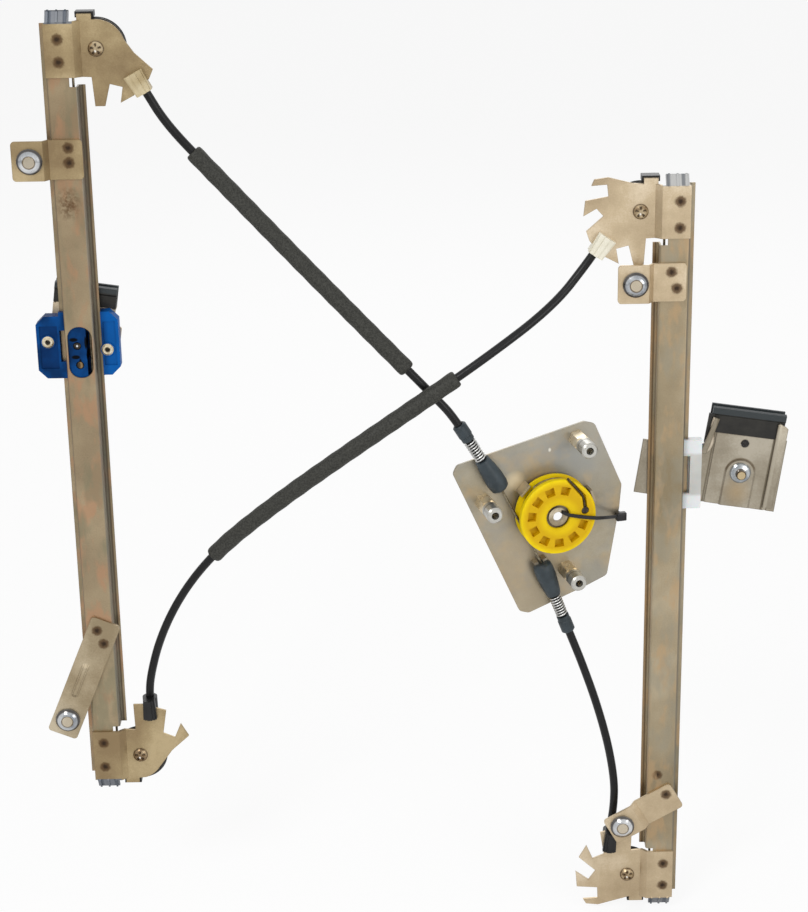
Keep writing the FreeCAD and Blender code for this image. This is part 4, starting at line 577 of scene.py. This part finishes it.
def slider_plastic():
    """Deep blue slider: painted shade on its deeper faces, brighter to the right, with painted shade in
    the rail's slot and in the rivets' bores.
    """
    f = plastic("slider plastic", (2, 42, 86), (6, 72, 138), 0.42, 0.3, cloud=70.0, specular=0.08)
    # painted shade on the deeper faces
    f.beyond((0, 0.0109, 0), REARWARD, (3, 38, 84), 0.55, 0.0004)
    f.beyond((LEFT_X + 0.014, 0, 0), RIGHTWARD, (8, 96, 176), 0.6, 0.004)
    # painted shade in the recesses seen in the rail's slot
    recesses = ((-0.0042, 0.0046, 0.0027, 0.0013), (-0.0033, -0.007, 0.0027, 0.0013),
                (-0.0006, -0.0111, 0.0009, 0.003), (0.0034, 0.0025, 0.0007, 0.0042),
                (0.0041, -0.0062, 0.0006, 0.003))
    for across, up, wide, high in recesses:
        f.patch(SLIDER + Vector((across, 0, up)), (wide, EVERYWHERE, high), (1, 4, 12), 1.0, 0.2)
    # painted shade in the rivets' bores
    for centre in SLIDER_RIVETS:
        f.patch(centre, (0.0019, EVERYWHERE, 0.0019), (20, 14, 12), 1.0, 0.1)
    return f


def nipple_zinc():
    """Cable ends painted dark as shade in the slider's slot: a painted glint on the left slider's upper
    one, tan on its lower one.
    """
    # the dark tones are painted shade, as in a hole
    f = zinc("nipple zinc", (34, 30, 28), (58, 52, 46), (96, 90, 82), cloud=300.0, rough=0.25, edge=0.0)
    f.patch((0.0219, 0, -0.1344), (0.0012, EVERYWHERE, 0.0026), (150, 122, 82), 0.9, 0.25)
    f.patch((0.0213, 0, -0.1344), (0.0004, EVERYWHERE, 0.002), (30, 22, 20), 0.9, 0.3)
    f.patch((0.0204, 0, -0.1216), (0.0006, EVERYWHERE, 0.0007), (236, 240, 244), 0.9, 0.3)
    return f


def shoe_plastic():
    """White translucent shoe, brighter and a little bluish at its two ends."""
    f = plastic("shoe plastic", (184, 184, 180), (204, 204, 199), 0.36, 0.2, cloud=50.0)
    end_size = (EVERYWHERE, EVERYWHERE, 0.0052)
    for up in (-0.1981, -0.2374):
        f.patch((0.4165, 0.01, up), end_size, (226, 230, 232), 0.85, 0.2)
    f.shader.inputs["Subsurface Weight"].default_value = 0.3
    f.shader.inputs["Subsurface Scale"].default_value = 0.002
    return f


def rubber(name, top_point):
    """Black channel rubber, slate-grey on the bead along its lip."""
    f = plastic(name, (22, 20, 16), (36, 34, 29), 0.5, 0.5, cloud=160.0, grain_scale=900.0)
    up = (math.sin(CARRIER_TILT), 0, math.cos(CARRIER_TILT))
    f.beyond(top_point, up, (44, 51, 54), 0.8, 0.0008)
    return f


def winding_steel():
    """Strand in the drum: pale in the groove, dark and greasy where it crosses the face."""
    f = zinc("winding steel", (120, 112, 92), (170, 160, 134), (206, 198, 176), cloud=400.0, rough=0.35,
             edge=0.0)
    f.beyond(DRUM + DRUM_AXIS * 0.013, DRUM_AXIS, (60, 46, 24), 0.9, 0.0008)
    return f


CREAM = ((182, 162, 132), (200, 181, 150), (222, 206, 180))
TAN = ((146, 125, 93), (166, 146, 110), (190, 171, 134))
SAND = ((152, 136, 108), (176, 161, 134), (200, 187, 162))

dress(left_rail_zinc(), "left_rail")
dress(right_rail_zinc(), "right_rail")
dress(bracket_zinc("left upper bracket zinc", TAN, [(0.0215, 0, 0.0741), (0.0215, 0, 0.0601)],
                   (LEFT_X, 0, 0.087)), "left_upper_bracket")
dress(bracket_zinc("left lower bracket zinc", TAN, [(0.0203, 0, -0.4031), (0.0203, 0, -0.4211)],
                   (LEFT_X, 0, -0.434)), "left_lower_bracket")
dress(bracket_zinc("right upper bracket zinc", CREAM, [(0.4033, 0, -0.0331), (0.4033, 0, -0.0501)],
                   (RIGHT_X, 0, -0.0197)), "right_upper_bracket")
dress(bracket_zinc("right lower bracket zinc", CREAM, [(0.4033, 0, -0.5041), (0.4033, 0, -0.5211)],
                   (RIGHT_X, 0, -0.535)), "right_lower_bracket")
dress(zinc("left tab zinc", *TAN, welds=[(0.0238, 0, 0.0073), (0.0238, 0, -0.002)]),
      "left_upper_mount_tab")
dress(zinc("arm zinc", *SAND, welds=[(0.021, 0, -0.3193), (0.0249, 0, -0.3289)]), "left_lower_mount_arm")
dress(zinc("right tab zinc", *CREAM, welds=[(0.3988, 0, -0.0786), (0.4024, 0, -0.0892),
      (0.4042, 0, -0.45)]), "right_upper_mount_tab", "right_lower_mount_tab")
dress(plate_zinc(), "base_plate")
carrier_material = dress(carrier_zinc(), "right_glass_plate")
dress(left_carrier_zinc(), "left_glass_plate")
dress(stud_steel(), "mounting_studs")
dress(nut_steel(), "right_clamp_nut")
dress(pulley_rivet_zinc(), "pulley_rivets")
dress(slider_rivet_zinc(), "left_slider_rivets")
dress(zinc("hidden rivet zinc", *SAND, cloud=200.0), "right_slider_rivets")
dress(standoff_zinc(), "motor_standoffs")
dress(pivot_zinc(), "drum_pivot")
dress(zinc("spring wire", (176, 176, 174), (204, 204, 202), (226, 226, 224), cloud=200.0, rough=0.24,
           edge=0.0, metallic=0.9), "upper_tension_spring", "lower_tension_spring")
dress(zinc("cable strand", (84, 76, 60), (118, 108, 88), (150, 140, 118), cloud=500.0, rough=0.34,
           edge=0.0), "upper_left_cable", "crossing_cable", "lower_right_cable")
dress(winding_steel(), "drum_winding")
dress(nipple_zinc(), "drum_nipples", "left_cable_nipples", "right_cable_nipples")
dress(drum_plastic(), "cable_drum")
dress(slider_plastic(), "left_slider")
dress(shoe_plastic(), "right_slider_shoe")
dress(rubber("left channel rubber", (0.0261, 0.02, -0.0884)), "left_glass_rubber")
right_rubber = dress(rubber("right channel rubber", on_carrier(0, 0.0378)), "right_glass_rubber")
lip_material = zinc("carrier lip zinc", (176, 162, 142), (198, 186, 166), (216, 206, 190), cloud=60.0,
                    rough=0.3, edge=0.0).done()
dress(plastic("fitting plastic", (40, 48, 52), (58, 68, 74), 0.45, 0.35, specular=0.35),
      "upper_end_fitting", "lower_end_fitting", "upper_ferrule", "lower_ferrule")
dress(plastic("left clip plastic", (170, 152, 114), (202, 188, 154), 0.32, 0.2),
      "left_upper_conduit_clip")
dress(plastic("right clip plastic", (218, 212, 192), (234, 230, 214), 0.32, 0.2),
      "right_upper_conduit_clip")
black_material = dress(plastic("black plastic", (12, 12, 13), (26, 26, 27), 0.36, 0.3),
                       "left_lower_conduit_clip", "right_lower_conduit_clip", "transport_tie",
                       *[end + "_cable_guard" for end in ENDS])
dress(plastic("pulley plastic", (34, 33, 31), (56, 54, 50), 0.42, 0.25),
      *[end + "_pulley" for end in ENDS])
sheath_material = dress(plastic("conduit sheath", (6, 6, 7), (15, 15, 16), 0.36, 0.12, specular=0.3),
                        "upper_left_conduit", "crossing_conduit", "lower_right_conduit")
foam_material = dress(plastic("sleeve foam", (38, 38, 34), (62, 62, 57), 0.6, 0.35, cloud=900.0,
                              grain_scale=2400.0, specular=0.3),
                      "upper_left_foam_sleeve", "crossing_foam_sleeve")


# conduits: sheathed cables that leave one clip or fitting and go into another

def piece(mesh_name, mesh, body):
    """A finished piece from a mesh that is already in place."""
    thing = bpy.data.objects.new(mesh_name, mesh)
    bpy.context.collection.objects.link(thing)
    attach(thing, body)
    return thing


def conduit_curve(name, points, radius):
    """A smooth round sheath through a route's control points."""
    curve = bpy.data.curves.new(name, "CURVE")
    curve.dimensions = "3D"
    curve.resolution_u = 12
    curve.bevel_depth = radius
    curve.bevel_resolution = 5
    curve.use_fill_caps = True
    spline = curve.splines.new("NURBS")
    spline.points.add(len(points) - 1)
    for control, point in zip(spline.points, points):
        control.co = (*point, 1)
    spline.order_u = 3
    spline.use_endpoint_u = True
    return curve


def centre_line(curve):
    """Points along a curve, read from a copy without its thickness."""
    bare_curve = curve.copy()
    bare_curve.bevel_depth = 0
    holder = bpy.data.objects.new("line", bare_curve)
    line = bpy.data.meshes.new_from_object(holder)
    points = [vertex.co.copy() for vertex in line.vertices]
    bpy.data.objects.remove(holder)
    bpy.data.curves.remove(bare_curve)
    return points


def part_of(points, start, end):
    """The stretch of a line of points between two shares of its length."""
    steps = [(b - a).length for a, b in zip(points, points[1:])]
    total, travelled, kept = sum(steps), 0.0, []
    for a, b, step in zip(points, points[1:], steps):
        low = min(max(start * total - travelled, 0), step)
        high = min(end * total - travelled, step)
        if high - low > 1e-6:
            kept += [a.lerp(b, low / step)] if not kept else []
            kept.append(a.lerp(b, high / step))
        travelled += step
    return kept


def sleeve_mesh(name, points, outer, inner, sides=28):
    """A thick tube of foam that follows points, with a slightly waved skin and rounded ends."""
    shape = bmesh.new()
    wave, turn_per_metre, end_length = 0.00012, 410, 0.002
    depth = outer - inner
    travelled = 0.0
    stations = []
    for i, point in enumerate(points):
        before, after = points[max(i - 1, 0)], points[min(i + 1, len(points) - 1)]
        travelled += (point - before).length
        stations.append((point, (after - before).normalized(), travelled))
    rounding = [(0.0, -depth * 0.4), (0.0006, -depth * 0.12), (0.0016, 0.0)]

    def circle(point, heading, radius):
        side = heading.cross(Vector(REARWARD)).normalized()
        lift = side.cross(heading).normalized()
        return [shape.verts.new(point + (side * math.cos(turn) + lift * math.sin(turn)) * radius)
                for turn in (2 * math.pi * k / sides for k in range(sides))]

    first, last = stations[0], stations[-1]
    rings = [circle(first[0], first[1], inner)]
    rings += [circle(first[0] + first[1] * along, first[1], outer + less) for along, less in rounding]
    for point, heading, along in stations:
        if end_length < along < travelled - end_length:
            rings.append(circle(point, heading, outer + wave * math.sin(along * turn_per_metre)))
    rings += [circle(last[0] - last[1] * along, last[1], outer + less)
              for along, less in reversed(rounding)]
    rings.append(circle(last[0], last[1], inner))
    rings += [circle(point, heading, inner) for point, heading, _ in stations[-2:0:-1]]
    for ring_a, ring_b in zip(rings, rings[1:] + rings[:1]):
        for k in range(sides):
            shape.faces.new((ring_a[k], ring_b[k], ring_b[(k + 1) % sides], ring_a[(k + 1) % sides]))
    bmesh.ops.recalc_face_normals(shape, faces=shape.faces)
    for face in shape.faces:
        face.smooth = True
    mesh = bpy.data.meshes.new(name)
    shape.to_mesh(mesh)
    shape.free()
    return mesh


SHEATH, FOAM = 0.0055, 0.011
ROUTES = {
    "upper_left": [(0.0693, 0.0128, 0.0462), (0.0746, 0.0128, 0.0366), (0.081, 0.0126, 0.0252),
                   (0.09, 0.012, 0.0132), (0.102, 0.0108, -0.0001), (0.1287, 0.0082, -0.029),
                   (0.1648, 0.0024, -0.0673), (0.2008, -0.0042, -0.1046), (0.2303, -0.009, -0.1351),
                   (0.2502, -0.011, -0.1562), (0.2592, -0.0096, -0.1668), (0.2672, -0.0076, -0.1805)],
    "crossing": [(0.3544, 0.0128, -0.0617), (0.3483, 0.0128, -0.0708), (0.3414, 0.0118, -0.08),
                 (0.3299, 0.007, -0.0934), (0.3123, -0.0016, -0.1072), (0.2897, -0.011, -0.1215),
                 (0.2655, -0.018, -0.1369), (0.2323, -0.0215, -0.1589), (0.1936, -0.0192, -0.1865),
                 (0.1541, -0.014, -0.2163), (0.12, -0.008, -0.2446), (0.101, -0.004, -0.2635),
                 (0.0849, 0.0005, -0.2842), (0.0715, 0.005, -0.307), (0.061, 0.009, -0.3315),
                 (0.0546, 0.012, -0.3545), (0.0524, 0.0128, -0.3684), (0.0526, 0.0128, -0.3794)],
    "lower_right": [(0.3337, 0.009, -0.3199), (0.3386, 0.0102, -0.333), (0.3459, 0.0092, -0.352),
                    (0.356, 0.0102, -0.382), (0.3646, 0.0114, -0.4143), (0.3694, 0.0123, -0.4433),
                    (0.3693, 0.0127, -0.4615), (0.3674, 0.0128, -0.4767), (0.3665, 0.0128, -0.4877)],
}
SLEEVES = {"upper_left": (0.178, 0.81), "crossing": (0.274, 0.717)}

for way, points in ROUTES.items():
    curve = conduit_curve(way + "_sheath", points, SHEATH / 2)
    curve.materials.append(sheath_material)
    sheath = piece(way + "_sheath", curve, "frame_and_cables")
    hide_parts(way + "_conduit")
    if way in SLEEVES:
        covered = part_of(centre_line(curve), *SLEEVES[way])
        mesh = sleeve_mesh(way + "_foam", covered, FOAM / 2, SHEATH / 2 + 0.0001)
        mesh.materials.append(foam_material)
        foam = piece(way + "_foam", mesh, "frame_and_cables")
        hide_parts(way + "_foam_sleeve")


# small pieces on the right carriage and at the drum plate

def only(pick):
    """In edit mode, select just the faces that a test picks."""
    bpy.ops.mesh.select_all(action="DESELECT")
    bpy.ops.object.mode_set(mode="OBJECT")
    for face in bpy.context.object.data.polygons:
        face.select = pick(face)
    bpy.ops.object.mode_set(mode="EDIT")


def to_object(shape, name):
    """An object from a finished shape, made the active one."""
    mesh = bpy.data.meshes.new(name)
    shape.to_mesh(mesh)
    shape.free()
    thing = bpy.data.objects.new(name, mesh)
    bpy.context.collection.objects.link(thing)
    bpy.ops.object.select_all(action="DESELECT")
    thing.select_set(True)
    bpy.context.view_layer.objects.active = thing
    return thing


def settle(thing, name, material, body, angle=35):
    """Move a modelled piece's place into its mesh, smooth it and let it ride."""
    thing.name = name
    bpy.ops.object.transform_apply(location=True, rotation=True, scale=True)
    bpy.ops.object.shade_smooth_by_angle(angle=math.radians(angle))
    thing.data.materials.clear()
    thing.data.materials.append(material)
    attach(thing, body)
    return thing


def carrier_plug():
    """The small black button in the glass plate's hole, dished, with a ring round its middle."""
    bpy.ops.object.select_all(action="DESELECT")
    seat = on_carrier(-0.0004, 0.0202, 0.0002)
    steps = ((0.0005, 0.0), (0.0003, -0.0004), (0.0006, 0.0), (0.0002, 0.0003))
    bpy.ops.mesh.primitive_cylinder_add(vertices=40, radius=0.0026, depth=0.0012, location=seat,
                                        rotation=(math.pi / 2, 0, 0))
    button = bpy.context.object
    bpy.ops.object.mode_set(mode="EDIT")
    only(lambda face: face.normal.z > 0.9)
    for inward, out in steps:
        bpy.ops.mesh.inset(thickness=inward, depth=out)
    bpy.ops.object.mode_set(mode="OBJECT")
    button.modifiers.new("edges", "BEVEL").width = 0.00012
    button.modifiers["edges"].segments = 2
    bpy.ops.object.modifier_apply(modifier="edges")
    f = plastic("plug plastic", (14, 14, 14), (34, 30, 28), 0.3, 0.2)
    return settle(button, "carrier_plug", f.done(), "right_carriage")


def rounded(path, closed):
    """A path with its corners cut twice, so that it bends softly."""
    for _ in range(2):
        cut = []
        for a, b in zip(path, path[1:] + path[:1] if closed else path[1:]):
            for share in (0.25, 0.75):
                cut.append(tuple(p + (q - p) * share for p, q in zip(a, b)))
        path = cut if closed else path[:1] + cut + path[-1:]
    return path


def sweep(shape, stations, section, closed):
    """Skin a section along stations, each a point with its sideways and forward directions."""
    rings = [[shape.verts.new(point + side * s + front * t) for s, t in section]
             for point, side, front in stations]
    for a, b in zip(rings, rings[1:] + rings[:1] if closed else rings[1:]):
        for k in range(len(section)):
            after = (k + 1) % len(section)
            shape.faces.new((a[k], b[k], b[after], a[after]))
    if not closed:
        shape.faces.new(rings[0])
        shape.faces.new(rings[-1])


def carrier_slab(name, outline, front_depth, rear_depth, material):
    """A flat piece with softened edges that lies on the glass plate."""
    shape = bmesh.new()
    corner = 0.0003
    front, rear = [[shape.verts.new(on_carrier(x, z, depth)) for x, z in outline]
                   for depth in (front_depth, rear_depth)]
    shape.faces.new(front)
    shape.faces.new(rear)
    for k in range(len(outline)):
        after = (k + 1) % len(outline)
        shape.faces.new((front[k], front[after], rear[after], rear[k]))
    bmesh.ops.recalc_face_normals(shape, faces=shape.faces)
    bmesh.ops.bevel(shape, geom=shape.edges, offset=corner, segments=3, profile=0.5, affect="EDGES")
    settle(to_object(shape, name), name, material, "right_carriage")


def carrier_lip():
    """The rolled edge of sheet that rises beside the rubber's left end and turns out to the shoe."""
    path = rounded([(-0.0277, 0.0125), (-0.0245, 0.0129), (-0.0228, 0.0158), (-0.0225, 0.0203),
                    (-0.0236, 0.0261), (-0.0240, 0.0312), (-0.0233, 0.0361)], False)
    stations = []
    for before, here, after in zip(path[:1] + path[:-1], path, path[1:] + path[-1:]):
        run = on_carrier(*after) - on_carrier(*before)
        side = run.cross(Vector(REARWARD)).normalized()
        stations.append((on_carrier(*here, -0.0017), side, -Vector(REARWARD)))
    shape = bmesh.new()
    half_wide, half_thick, facets = 0.0013, 0.0009, 14
    turns = [2 * math.pi * k / facets for k in range(facets)]
    section = [(half_wide * math.cos(turn), half_thick * math.sin(turn)) for turn in turns]
    sweep(shape, stations, section, False)
    bmesh.ops.recalc_face_normals(shape, faces=shape.faces)
    settle(to_object(shape, "carrier_lip"), "carrier_lip", lip_material, "right_carriage")


def on_plate(along, out, up):
    """A point from the drum's centre on the plate's front: along the plate, out of it and up."""
    return DRUM + Vector((-DRUM_AXIS.y, DRUM_AXIS.x, 0)) * along + DRUM_AXIS * out + Vector((0, 0, up))


def transport_tie():
    """The tie that holds the drum still: a strap through the hub and round the plate, and its head."""
    path = [(0.0023, 0.006, 0.0030), (0.0023, 0.0146, 0.0032), (0.0040, 0.0172, 0.0026),
            (0.0079, 0.0174, 0.0008), (0.0220, 0.0174, -0.0024), (0.0284, 0.0170, -0.0034),
            (0.0440, 0.0044, -0.0088), (0.0488, 0.0030, -0.0094), (0.0490, -0.0006, -0.0094),
            (0.0472, -0.0040, -0.0090), (0.0300, -0.0040, -0.0050), (0.0040, -0.0040, 0.0026),
            (0.0023, -0.0020, 0.0030)]
    path = rounded(path, True)
    half_wide, half_thick, corner = 0.0012, 0.0006, 0.00025
    section = [(s * half_thick, t * (half_wide - corner)) for s, t in ((1, -1), (1, 1))]
    section += [(half_thick - corner, half_wide), (corner - half_thick, half_wide)]
    section += [(-s, -t) for s, t in section]
    shape = bmesh.new()
    stations = []
    for before, here, after in zip(path[-1:] + path[:-1], path, path[1:] + path[:1]):
        run = Vector((after[0] - before[0], after[1] - before[1])).normalized()
        stations.append((on_plate(*here), on_plate(-run.y, run.x, 0) - DRUM, Vector(UP)))
    sweep(shape, stations, section, True)
    turn = Matrix.Rotation(math.atan2(DRUM_AXIS.x, -DRUM_AXIS.y), 4, "Z")
    head_place, head_size, head_corner = (0.0476, 0.0035, -0.0094), (0.0068, 0.0042, 0.0056), 0.0006
    place = Matrix.Translation(on_plate(*head_place)) @ turn @ Matrix.Diagonal((*head_size, 1))
    head = bmesh.ops.create_cube(shape, size=1, matrix=place)
    edges = list({edge for vertex in head["verts"] for edge in vertex.link_edges})
    bmesh.ops.bevel(shape, geom=edges, offset=head_corner, segments=3, profile=0.5, affect="EDGES")
    bmesh.ops.recalc_face_normals(shape, faces=shape.faces)
    tie = settle(to_object(shape, "drum_tie"), "drum_tie", black_material, "frame_and_cables")
    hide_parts("transport_tie")


def spring_liner(name, start, end):
    """The dark liner that runs inside a tension spring, narrowed at both ends."""
    bpy.ops.object.select_all(action="DESELECT")
    start, end = Vector(start), Vector(end)
    radius, narrowing, tip = 0.0021, 0.0004, 0.0006
    bpy.ops.mesh.primitive_cylinder_add(vertices=24, radius=radius, depth=(end - start).length,
                                        location=(start + end) / 2)
    liner = bpy.context.object
    liner.rotation_euler = (end - start).to_track_quat("Z", "Y").to_euler()
    bpy.ops.object.mode_set(mode="EDIT")
    only(lambda face: abs(face.normal.z) > 0.9)
    bpy.ops.mesh.inset(thickness=narrowing, depth=tip)
    bpy.ops.object.mode_set(mode="OBJECT")
    settle(liner, name, black_material, "frame_and_cables")


carrier_plug()
carrier_slab("carrier_flap", [(0.0188, -0.0222), (0.0251, -0.0222), (0.0258, 0.0268), (0.0258, 0.0338),
                              (0.0238, 0.0352), (0.0200, 0.0368), (0.0186, 0.0360)],
             -0.0012, 0.0002, carrier_material)
carrier_slab("carrier_rubber_end", [(-0.0274, 0.0176), (-0.0246, 0.0164), (-0.0232, 0.0203),
                                    (-0.0238, 0.0380), (-0.0273, 0.0380)],
             -0.0006, 0.0014, right_rubber)
carrier_lip()
transport_tie()
spring_liner("upper_spring_liner", (0.2783, -0.0049, -0.1993), (0.2695, -0.0071, -0.1843))
spring_liner("lower_spring_liner", (0.3261, 0.0071, -0.2994), (0.3322, 0.0086, -0.3157))


# stage: floor, light and camera

CENTRE = Vector((0.228, 0.0055, -0.1994))


def studio_floor():
    """A pale floor that the camera sees as nearly white, with the part's shadow kept."""
    gap = 0.004
    bpy.ops.object.select_all(action="DESELECT")
    bpy.ops.mesh.primitive_plane_add(size=40, location=(0.2, 6, cad_box[0][2] - gap))
    floor = bpy.context.object
    floor.name = "floor"
    f = Finish("floor paper", 0.0, 0.9, 0.1)
    f.colour = (252, 252, 252)
    material = f.done()
    glow = f.add("ShaderNodeEmission")
    blend = f.add("ShaderNodeMixShader")
    seen = f.add("ShaderNodeLightPath").outputs["Is Camera Ray"]
    f.feed(f.math("MULTIPLY", seen, 0.85), blend.inputs[0])
    f.feed(f.shader.outputs[0], blend.inputs[1])
    f.feed(glow.outputs[0], blend.inputs[2])
    f.feed(blend.outputs[0], f.nodes["Material Output"].inputs["Surface"])
    floor.data.materials.append(material)


def studio_world():
    """Soft even light, white to the camera and nearly white in reflections."""
    world = bpy.data.worlds.new("studio")
    bpy.context.scene.world = world
    world.use_nodes = True
    b = Board(world.node_tree)
    rays = b.add("ShaderNodeLightPath").outputs
    seen = b.math("MAXIMUM", rays["Is Camera Ray"], rays["Is Transmission Ray"])
    strength = b.fade(rays["Is Glossy Ray"], 0.0, 1.0, 0.55, 0.95)
    background = b.nodes["Background"]
    background.inputs["Color"].default_value = (1, 1, 1, 1)
    b.feed(b.math("MAXIMUM", strength, seen), background.inputs["Strength"])


def lamp(name, place, size, power):
    """A square lamp that points at the part's middle."""
    data = bpy.data.lights.new(name, "AREA")
    data.size = size
    data.energy = power
    thing = bpy.data.objects.new(name, data)
    bpy.context.collection.objects.link(thing)
    thing.location = place
    thing.rotation_euler = (CENTRE - Vector(place)).to_track_quat("-Z", "Y").to_euler()


def camera(distance, rise, lens, roll):
    """A long lens in front of the part, raised by an angle and a little rolled."""
    data = bpy.data.cameras.new("camera")
    data.lens = lens
    data.sensor_width = 36
    thing = bpy.data.objects.new("camera", data)
    bpy.context.collection.objects.link(thing)
    thing.location = CENTRE + Vector((0, -math.cos(rise), math.sin(rise))) * distance
    thing.rotation_mode = "QUATERNION"
    aim = (CENTRE - thing.location).to_track_quat("-Z", "Y")
    thing.rotation_quaternion = aim @ Quaternion((0, 0, 1), roll)
    bpy.context.scene.camera = thing


studio_floor()
studio_world()
lamp("key", (-0.7, -1.6, 1.2), size=0.7, power=18)
lamp("fill", (1.5, -1.5, 0.2), size=1.0, power=9)
lamp("back", (0.4, 1.6, 1.0), size=1.2, power=8)
camera(distance=1.447, rise=math.radians(20), lens=87.87, roll=-0.0172)
bpy.context.scene.view_settings.view_transform = "Standard"
